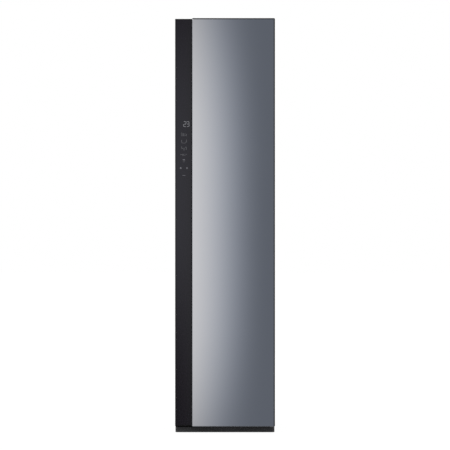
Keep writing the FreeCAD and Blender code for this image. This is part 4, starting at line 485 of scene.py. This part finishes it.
# ---------------------------------------------------------------- side panels, top and back
# Folded steel sides in a baked satin coat, a moulded lid, and a zinc-coated back with louvres, pressed ribs
# and standoffs, held by pan-head screws.
side_paint = painted("side_paint", (0.030, 0.030, 0.033), 0.42)
for side in ("left", "right"):
    panel = eased(f"side_panel_{side}", f"cabinet_side_{side}", 0.0006)
    side_paint.on(panel)
    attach(panel, "cabinet")

case_dark = moulded("case_dark", (0.017, 0.017, 0.018), (0.023, 0.023, 0.025), 0.42)
lid = eased("top_cover", "cabinet_lid", 0.0008)
case_dark.on(lid)
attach(lid, "cabinet")

back_zinc = coated("back_zinc", (0.44, 0.455, 0.47), (0.50, 0.515, 0.53), 0.42, crystals=110)
back = eased("back_panel", "cabinet_back", 0, cut=True)
back_zinc.on(back)
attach(back, "cabinet")

screw_zinc = Finish("screw_zinc", 0.3, metallic=1.0)
screw_zinc.shades((0.52, 0.52, 0.50), (0.70, 0.70, 0.68), screw_zinc.grain(300, detail=2))
screws = eased("cabinet_screws", "pan_head_screws", 0.0007, steps=3)
screw_zinc.on(screws)
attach(screws, "cabinet")

gland_rubber = rubbery("gland_rubber", (0.012, 0.012, 0.012), (0.022, 0.022, 0.022))
gland = eased("cord_gland", "cord_gland_ring", 0.0008)
gland_rubber.on(gland)
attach(gland, "cabinet")

foam_white = Finish("foam_white", 0.9)
beads = foam_white.place.tap("TexVoronoi", {"Vector": foam_white.place, "Scale": 260.0}, output="Distance")
foam_white.shades((0.74, 0.74, 0.72), (0.84, 0.84, 0.82), beads)
foam_white.relief(beads, depth=0.0006, strength=0.8)
foam_white.on(nodes["insulation_panels"], nodes["door_core"])

hinge_rough = 0.36
hinge_steel = Finish("hinge_steel", hinge_rough, metallic=1.0)
brushed = hinge_steel.grain(60, detail=4, squeeze=(1, 30, 1))
hinge_steel.shades((0.33, 0.33, 0.34), (0.46, 0.46, 0.47), brushed)
hinge_steel.roughen(brushed, hinge_rough, swing=0.2)
for node in ("hinge_top", "hinge_bottom"):
    hinge = eased(node, f"{node}_plate", 0.0005)
    hinge_steel.on(hinge)
    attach(hinge, "cabinet")


# ---------------------------------------------------------------- front frame and chamber liners
# A moulded frame round both mouths, and pale vacuum-formed liners with shallow ribs behind it. The ceiling
# holds a flat lamp, the floor a steam nozzle and the warm air's grille.
frame_grey = moulded("frame_grey", (0.052, 0.052, 0.056), (0.064, 0.064, 0.068), 0.45)
mouth_frame = eased("front_frame", "mouth_frame", 0.0012, cut=True)
frame_grey.on(mouth_frame)
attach(mouth_frame, "cabinet")

liner_pale = moulded("liner_pale", (0.60, 0.61, 0.62), (0.66, 0.67, 0.68), 0.38, grains=500)
for wall_name in ("left", "right", "back", "floor", "ceiling"):
    liner = eased(f"liner_{wall_name}", f"chamber_{wall_name}", 0.0012, turn=25)
    liner_pale.on(liner)
    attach(liner, "cabinet")

lamp_opal = Finish("lamp_opal", 0.3, Emission_Strength=0.25, Emission_Color=(1, 0.98, 0.94, 1))
lamp_opal.shades((0.80, 0.80, 0.78), (0.86, 0.86, 0.84), lamp_opal.grain(40, detail=2))
diffuser = eased("interior_lamp", "lamp_diffuser", 0.0015, steps=3)
lamp_opal.on(diffuser)
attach(diffuser, "cabinet")

vent_grey = moulded("vent_grey", (0.27, 0.27, 0.28), (0.33, 0.33, 0.34), 0.42)
for node, name, radius in (
    ("outlet_grille", "warm_air_grille", 0.0008),
    ("steam_nozzle", "steam_jet", 0.0006),
):
    vent = eased(node, name, radius)
    vent_grey.on(vent)
    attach(vent, "cabinet")

chrome = Finish("rack_chrome", 0.12, metallic=1.0)
chrome.shades((0.66, 0.67, 0.69), (0.74, 0.75, 0.77), chrome.grain(25))
chrome.on(nodes["shelf"], nodes["guide_rods"])


# ---------------------------------------------------------------- shaking hanger bar
# Over the ceiling a motor turns a crank pulley by a flat belt, and the crank's pin slides a carriage on two
# rods. The hanger bar hangs below the carriage through two slots.
deck_zinc = coated("deck_zinc", (0.46, 0.48, 0.50), (0.53, 0.55, 0.57), 0.38, crystals=130)
deck_zinc.on(nodes["mechanism_plate"])
belt_rubber = rubbery("belt_rubber", (0.012, 0.012, 0.012), (0.02, 0.02, 0.02))
belt_rubber.on(nodes["drive_belt"])
nylon = moulded("bearing_nylon", (0.70, 0.69, 0.64), (0.76, 0.75, 0.70), 0.36)
for node in ("crank_pulley", "motor_pulley", "hinge_bushes"):
    nylon.on(nodes[node])
carriage = eased("hanger_carriage", "shaking_carriage", 0.001)
nylon.on(carriage)
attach(carriage, "hanger_carriage")

bar_rough = 0.3
bar_satin = Finish("bar_satin", bar_rough, metallic=1.0)
drawn = bar_satin.grain(70, detail=4, squeeze=(0.04, 1, 1))
bar_satin.shades((0.55, 0.56, 0.58), (0.68, 0.69, 0.71), drawn)
bar_satin.roughen(drawn, bar_rough, swing=0.16)
bar_satin.relief(drawn, depth=0.00002, strength=0.3)
bar = eased("hanger_bar", "hanger_rail", 0.0012, steps=3, cut=True)
bar_satin.on(bar)
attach(bar, "hanger_carriage")

hanger_black = moulded("hanger_black", (0.020, 0.020, 0.022), (0.030, 0.030, 0.032), 0.36)
hanger = eased("clothes_hanger", "moulded_hanger", 0.0024, steps=3)
hanger_black.on(hanger)
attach(hanger, "clothes_hanger")


# ---------------------------------------------------------------- water tanks and lint filter
# Two smoky tanks side by side in a moulded bay, each with a grip pocket and a screw cap, and over them the
# air intake with a lift-out lint filter.
lid_thick, lid_line = 0.0068, 0.0006
water_z, water_line = 0.168, 0.0008
lid_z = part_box("supply_tank")[1].z - lid_thick
tank_smoke = Finish("tank_smoke", 0.2, Coat_Weight=0.2, IOR=1.49)
streak = tank_smoke.grain(6, squeeze=(1, 1, 0.4)).ease(0.3, 0.7)
height = tank_smoke.axis("Z")
wet = streak.blend((0.105, 0.15, 0.20), (0.125, 0.175, 0.23))
dry = streak.blend((0.21, 0.245, 0.28), (0.26, 0.30, 0.34))
shell = height.ease(water_z - water_line, water_z + water_line).blend(wet, dry)
tank_smoke.feed("Base Color", height.ease(lid_z - lid_line, lid_z).blend(shell, (0.045, 0.048, 0.053)))
tank_smoke.relief(tank_smoke.grain(14, detail=2), depth=0.0002, strength=0.3)
tank_print = Finish("tank_print", 0.45)
tank_print.shades((0.60, 0.63, 0.66), (0.66, 0.69, 0.72), tank_print.grain(300, detail=2))
print_thick = 0.00008


def dash(x, y, z, long, thick, turn=0.0):
    """A flat stroke about its middle, turned anticlockwise as seen from in front."""
    bpy.ops.mesh.primitive_plane_add(size=1, location=(x, y, z), rotation=(math.pi / 2, -turn, 0))
    stroke = bpy.context.object
    stroke.scale = (long, thick, 1)
    return stroke


def spot(x, y, z, radius, hole=0.0, corners=32):
    """A flat round mark, a ring round a hole, or a mark with a few corners, the first of them up."""
    bpy.ops.mesh.primitive_circle_add(vertices=corners, radius=radius, fill_type="NGON", location=(x, y, z),
                                      rotation=(math.pi / 2, 0, 0))
    if hole:
        bpy.ops.object.mode_set(mode="EDIT")
        bpy.ops.mesh.select_all(action="SELECT")
        bpy.ops.mesh.inset(thickness=radius - hole)
        bpy.ops.mesh.delete(type="FACE")
        bpy.ops.object.mode_set(mode="OBJECT")
    return bpy.context.object


def print_layer(name, marks, body):
    """Joins flat marks into one thin printed layer on a piece's face."""
    bpy.ops.object.select_all(action="DESELECT")
    for mark in marks:
        mark.select_set(True)
    bpy.context.view_layer.objects.active = marks[0]
    if len(marks) > 1:
        bpy.ops.object.join()
    layer = bpy.context.object
    layer.name = name
    bpy.ops.object.transform_apply()
    only(layer)
    bpy.ops.object.mode_set(mode="EDIT")
    bpy.ops.mesh.select_all(action="SELECT")
    bpy.ops.mesh.extrude_region_move(TRANSFORM_OT_translate={"value": (0, print_thick, 0)})
    bpy.ops.mesh.select_all(action="SELECT")
    bpy.ops.mesh.normals_make_consistent(inside=False)
    bpy.ops.object.mode_set(mode="OBJECT")
    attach(layer, body)
    return layer


# Each tank's face has a scale of six ticks, the top one long, and a water drop: full on the supply tank, and
# an open ring on the drain tank.
tick_low, tick_step, tick_count = 0.092, 0.020, 6
tick_in, tick_long, tick_short, tick_thick = 0.021, 0.012, 0.006, 0.0012
drop_z, drop_round, drop_tip, drop_tip_up = 0.182, 0.0052, 0.0042, 0.0068
for node, drop_hole in (("supply_tank", 0.0), ("drain_tank", 0.0038)):
    tank = eased(node, f"{node}_shell", 0.0014, steps=3)
    tank_smoke.on(tank)
    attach(tank, node)
    low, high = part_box(node)
    middle, face = (low.x + high.x) / 2, low.y - print_thick
    ticks = []
    for tick in range(tick_count):
        long = tick_long if tick == tick_count - 1 else tick_short
        ticks.append(dash(high.x - tick_in, face, tick_low + tick * tick_step, long, tick_thick))
    ticks.append(spot(middle, face, drop_z, drop_round, drop_hole))
    ticks.append(spot(middle, face, drop_z + drop_tip_up, drop_tip, corners=3))
    marks = print_layer(f"{node}_marks", ticks, node)
    tank_print.on(marks)

bay = eased("tank_bay", "tank_bay_tray", 0.001, cut=True)
frame_grey.on(bay)
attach(bay, "cabinet")
intake = eased("intake_duct", "air_intake", 0.0008, cut=True)
duct_black.on(intake)
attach(intake, "cabinet")

# The net is a thin sheet moulded into the middle of the filter's deep frame.
net_pitch, net_thick, net_edge = 0.0014, 0.0012, 0.0002
net_from, net_to = 0.0030, 0.0036
lint_low, lint_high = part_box("lint_filter")
filter_blue = Finish("filter_blue", 0.5)
thread = [w.sum("PINGPONG", w, net_pitch / 2) / (net_pitch / 2) for w in map(filter_blue.axis, "XZ")]
net = thread[0].sum("MINIMUM", thread[0].ease(0.3, 0.5), thread[1].ease(0.3, 0.5))
aside = filter_blue.axis("Y") - (lint_low.y + lint_high.y) / 2
sheet = 1 - aside.sum("ABSOLUTE", aside).ease(net_thick / 2, net_thick / 2 + net_edge)
inside = filter_blue.within(lint_low.x, lint_high.x, lint_low.z, lint_high.z).ease(net_from, net_to)
net = net * sheet * inside
blue = filter_blue.grain(9, detail=2).ease(0.3, 0.7).blend((0.095, 0.135, 0.18), (0.115, 0.16, 0.21))
# The net's open holes are painted near black, for the shade seen through them.
filter_blue.feed("Base Color", net.blend(blue, (0.04, 0.055, 0.07)))
hole_depth, etch_depth = 0.8, 0.12
weave = net * -hole_depth + filter_blue.grain(900, detail=2) * etch_depth
filter_blue.relief(weave, depth=0.0004, strength=0.8)
lint = eased("lint_filter", "lint_net", 0.0008, cut=True)
filter_blue.on(lint)
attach(lint, "lint_filter")


# ---------------------------------------------------------------- door case
# A deep moulded tray filled with foam. Two slim glass faces are bonded to its front, and nylon bushes in its
# right-hand corners turn on the hinge pins.
case = eased("door_case", "door_tray", 0.0014, cut=True)
case_dark.on(case)
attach(case, "door")


# ---------------------------------------------------------------- mirror
# A tall sheet of silvered grey glass with a ground rim, in a thin dark metal edge. It stands proud of the
# control strip, and its left edge is the door's full-height grip.
silver = Finish("silvered_glass", 0.02, metallic=1.0)
pane_low, pane_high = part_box("mirror_glass")
rim = 0.0005
silvered = silver.within(pane_low.x - rim, pane_high.x, pane_low.z, pane_high.z).ease(rim * 0.9, rim * 1.1)
haze = silver.grain(9, detail=4)
tinted = haze.blend((0.885, 0.90, 0.925), (0.90, 0.915, 0.94))
ground_glass, haze_swing, polished_by = 0.458, 0.02, 0.45
silver.feed("Base Color", silvered.blend((0.06, 0.07, 0.075), tinted))
silver.feed("Roughness", haze * haze_swing + ground_glass - silvered * polished_by)
silver.feed("Metallic", silvered)
pane = eased("mirror_glass", "mirror_pane", rim, steps=3)
silver.on(pane)
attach(pane, "door")

# The edging's left and bottom bars carry a painted highlight, a much lighter metal colour, and its other two
# are dark.
edge_rough, highlight_over, highlight_past = 0.31, 0.0008, 0.0002
edge_metal = Finish("edge_metal", edge_rough, metallic=1.0)
satin = edge_metal.grain(60, detail=4, squeeze=(1, 1, 0.03))
off_highlight = edge_metal.axis("X").ease(pane_low.x - highlight_over, pane_low.x + highlight_past)
above_foot = edge_metal.axis("Z").ease(pane_low.z - highlight_past, pane_low.z + highlight_over)
off_highlight = off_highlight.sum("MINIMUM", off_highlight, above_foot)
# The light colour is the painted highlight on the left and bottom bars.
edge_tone_and_highlight = off_highlight.blend((0.55, 0.555, 0.57), (0.055, 0.055, 0.06))
satin_share = 0.3
edge_metal.feed("Base Color", (satin * satin_share).blend(edge_tone_and_highlight, (0.10, 0.10, 0.11)))
edge_metal.roughen(satin, edge_rough, swing=0.14)
edging = eased("mirror_trim", "mirror_edging", 0.0007, steps=3, cut=True)
edge_metal.on(edging)
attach(edging, "door")


# ---------------------------------------------------------------- control strip
# A narrow strip of black back-printed glass with a black border. A lit number, four rows of small signs and
# the touch keys show through it; the place above them is left plain.
strip_low, strip_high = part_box("control_strip")
border_from, border_to = 0.003825, 0.00495
strip_black = Finish("strip_black", 0.5, Specular_IOR_Level=0.0, Coat_IOR=1.58, Coat_Roughness=0.12)
mirror_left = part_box("mirror_trim")[0].x
printed = strip_black.within(strip_low.x, mirror_left, strip_low.z, strip_high.z)
printed = printed.ease(border_from, border_to)
strip_black.feed("Base Color", printed.blend((0.012, 0.012, 0.012), (0.008, 0.006, 0.0095)))
strip_black.feed("Coat Weight", printed)
glass = eased("control_strip", "control_glass", 0.0007, steps=3)
strip_black.on(glass)
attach(glass, "door")

print_y = strip_low.y - print_thick
lit_print = Finish("lit_print", 0.4)
lit_print.shades((0.24, 0.24, 0.26), (0.26, 0.26, 0.28), lit_print.grain(300, detail=2))
faint_print = Finish("faint_print", 0.4)
faint_print.shades((0.085, 0.085, 0.095), (0.10, 0.10, 0.11), faint_print.grain(300, detail=2))

# Each digit has its place and the upright bars that it lights, on its right or left and above or below its
# middle.
digit_tall, digit_wide, digit_z = 0.0225, 0.0102, 1.3792
bar_thick, bar_gap = 0.0025, 0.0021
bars = []
for digit_x, sides in (
    (-0.1792, ((1, 1), (-1, -1))),
    (-0.1654, ((1, 1), (1, -1))),
):
    for level in (-1, 0, 1):
        bars.append(dash(digit_x, print_y, digit_z + level * digit_tall / 2, digit_wide - bar_gap, bar_thick))
    for side, half in sides:
        bars.append(dash(digit_x + side * digit_wide / 2, print_y, digit_z + half * digit_tall / 4,
                         digit_tall / 2 - bar_gap, bar_thick, math.pi / 2))
number = print_layer("lit_number", bars, "door")
lit_print.on(number)

# Each stroke of a sign is given in millimetres from the middle of its row: along, up, length, width and turn.
sign_x = -0.1845
milli = 0.001
strokes = []
for row_z, row in (
    (1.3330, ((-9, 1, 17, 2.2, 90), (-4, -1, 13, 2.2, 90), (0, -1, 13, 2.2, 90), (7, 2, 9, 2.2, 0),
              (7, -6, 9, 2.2, 0), (12, -2, 11, 3.4, 90))),
    (1.3015, ((-9, 1, 13, 3, 90), (-6, -5, 5, 2, -40), (2, -7, 12, 2.6, 0), (9, -4, 5, 2, 40),
              (12.5, 2, 14, 3, 90))),
    (1.2715, ((-9, 3, 12, 2.6, 90), (-4.5, -1, 9, 2.4, -30), (2, -4, 14, 3, 90), (6, 3, 9, 2.4, 35),
              (12, 0, 14, 3, 90))),
    (1.2435, ((-12, 0, 6, 3.2, 0), (-6, 0, 4, 3.2, 0), (0, 1, 7, 3.2, 0), (11.5, 0, 4.4, 4, 0),
              (0, -4, 13, 2.2, 0))),
):
    for along, up, long, wide, turn in row:
        strokes.append(dash(sign_x + along * milli, print_y, row_z + up * milli, long * milli, wide * milli,
                            math.radians(turn)))
signs = print_layer("small_signs", strokes, "door")
faint_print.on(signs)

# Two round keys stand side by side, with a start bar below them, and over them the power key's bar and ring.
key_x, key_gap, key_z, dot = -0.1833, 0.014, 1.183, 0.0038
start_z, power_z, ring_z = 1.150, 1.2205, 1.2139
keys = [
    spot(key_x - key_gap, print_y, key_z, dot),
    spot(key_x + key_gap, print_y, key_z, dot),
    dash(key_x, print_y, start_z, long=0.013, thick=0.0020),
    dash(key_x, print_y, power_z, long=0.0105, thick=0.0034),
]
touch_keys = print_layer("touch_keys", keys, "door")
key_print = Finish("key_print", 0.4)
key_print.shades((0.145, 0.145, 0.165), (0.17, 0.17, 0.19), key_print.grain(300, detail=2))
key_print.on(touch_keys)
power_ring = print_layer("power_ring", [spot(key_x, print_y, ring_z, radius=0.0045, hole=0.0031)], "door")
faint_print.on(power_ring)

board_green = Finish("board_green", 0.35)
tracks = board_green.place.tap("TexBrick", {"Vector": board_green.place, "Scale": 160.0}, output="Fac")
board_green.shades((0.02, 0.10, 0.05), (0.05, 0.20, 0.10), tracks)
board_green.on(nodes["display_board"])


# ---------------------------------------------------------------- door liner and seal
# A pale formed sheet closes the door's back, with a raised dike that fills the chamber's mouth. A magnetic
# bellows seal is pressed round the dike.
inner = eased("door_liner", "door_inner_sheet", 0.0014, steps=3)
liner_pale.on(inner)
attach(inner, "door")

seal_low, seal_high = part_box("door_gasket")
seal_width, seal_corner = 0.012, 0.0166
seal_tall = seal_high.y - seal_low.y
middle = (seal_low + seal_high) / 2
bpy.ops.mesh.primitive_plane_add(size=1, location=(middle.x, seal_low.y, middle.z),
                                 rotation=(-math.pi / 2, 0, 0))
seal = bpy.context.object
seal.name = "bellows_seal"
seal.scale = (seal_high.x - seal_low.x, seal_high.z - seal_low.z, 1)
bpy.ops.object.transform_apply()
bpy.ops.object.mode_set(mode="EDIT")
bpy.ops.mesh.select_all(action="SELECT")
corner_steps, seal_turn = 6, 50
bpy.ops.mesh.bevel(affect="VERTICES", offset=seal_corner, segments=corner_steps)
# Each step goes inwards by a share of the seal's width and up or down by a share of its height.
steps = ((0.03, 0.16), (0.14, 0), (0.04, 0.20), (0.06, 0.34), (0.07, 0.20), (0.09, 0.10), (0.14, 0),
         (0.09, -0.10), (0.07, -0.20), (0.06, -0.34), (0.04, -0.20), (0.14, 0), (0.03, -0.16))
for inward, upward in steps:
    bpy.ops.mesh.inset(thickness=seal_width * inward)
    bpy.ops.transform.translate(value=(0, seal_tall * upward, 0))
bpy.ops.mesh.delete(type="FACE")
bpy.ops.mesh.select_all(action="DESELECT")
bpy.ops.mesh.select_non_manifold()
bpy.ops.mesh.bridge_edge_loops()
bpy.ops.mesh.select_all(action="SELECT")
bpy.ops.mesh.normals_make_consistent(inside=False)
bpy.ops.object.mode_set(mode="OBJECT")
bpy.ops.object.shade_smooth_by_angle(angle=math.radians(seal_turn))
seal_grey = rubbery("seal_grey", (0.13, 0.13, 0.135), (0.18, 0.18, 0.185))
seal_grey.on(seal)
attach(seal, "door")
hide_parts("door_gasket")


# ---------------------------------------------------------------- trouser press
# A felt-faced board is fixed to the door's inner sheet, and a second felt-faced plate swings against it on
# three pins, to press a trouser leg between them.
leaf_low, leaf_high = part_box("press_plate")
hinge_side = 0.0145
pad_from, pad_to = 0.0042, 0.0050
seam_in, seam_from, seam_to = 0.009, 0.0004, 0.0011
felt = Finish("press_felt", 0.9, Sheen_Weight=0.2)
depth_in = felt.within(leaf_low.x, leaf_high.x - hinge_side, leaf_low.z, leaf_high.z)
seam = depth_in.sum("ABSOLUTE", depth_in - seam_in).ease(seam_from, seam_to)
pad = depth_in.ease(pad_from, pad_to)
fibre = felt.grain(420, detail=5, squeeze=(1, 1, 2.2))
fibre_share = 0.65
nap = fibre * fibre_share + felt.grain(120) * (1 - fibre_share)
nap = nap.ease(0.35, 0.65).blend((0.335, 0.335, 0.345), (0.405, 0.405, 0.415))
felt.feed("Base Color", pad.blend((0.21, 0.21, 0.22), seam.blend((0.22, 0.22, 0.23), nap)))
hem_rough, felt_rougher = 0.45, 0.45
felt.feed("Roughness", pad * felt_rougher + hem_rough)
pad_rise, seam_rise, fibre_rise = 0.5, 0.8, 0.5
felt.relief(pad * (fibre * fibre_rise + seam * seam_rise + pad_rise), depth=0.0007, strength=0.7)
board = eased("press_board", "press_backing", 0.0012)
felt.on(board)
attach(board, "door")
plate = eased("press_plate", "press_leaf", 0.0022, steps=3)
felt.on(plate)
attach(plate, "press_plate")
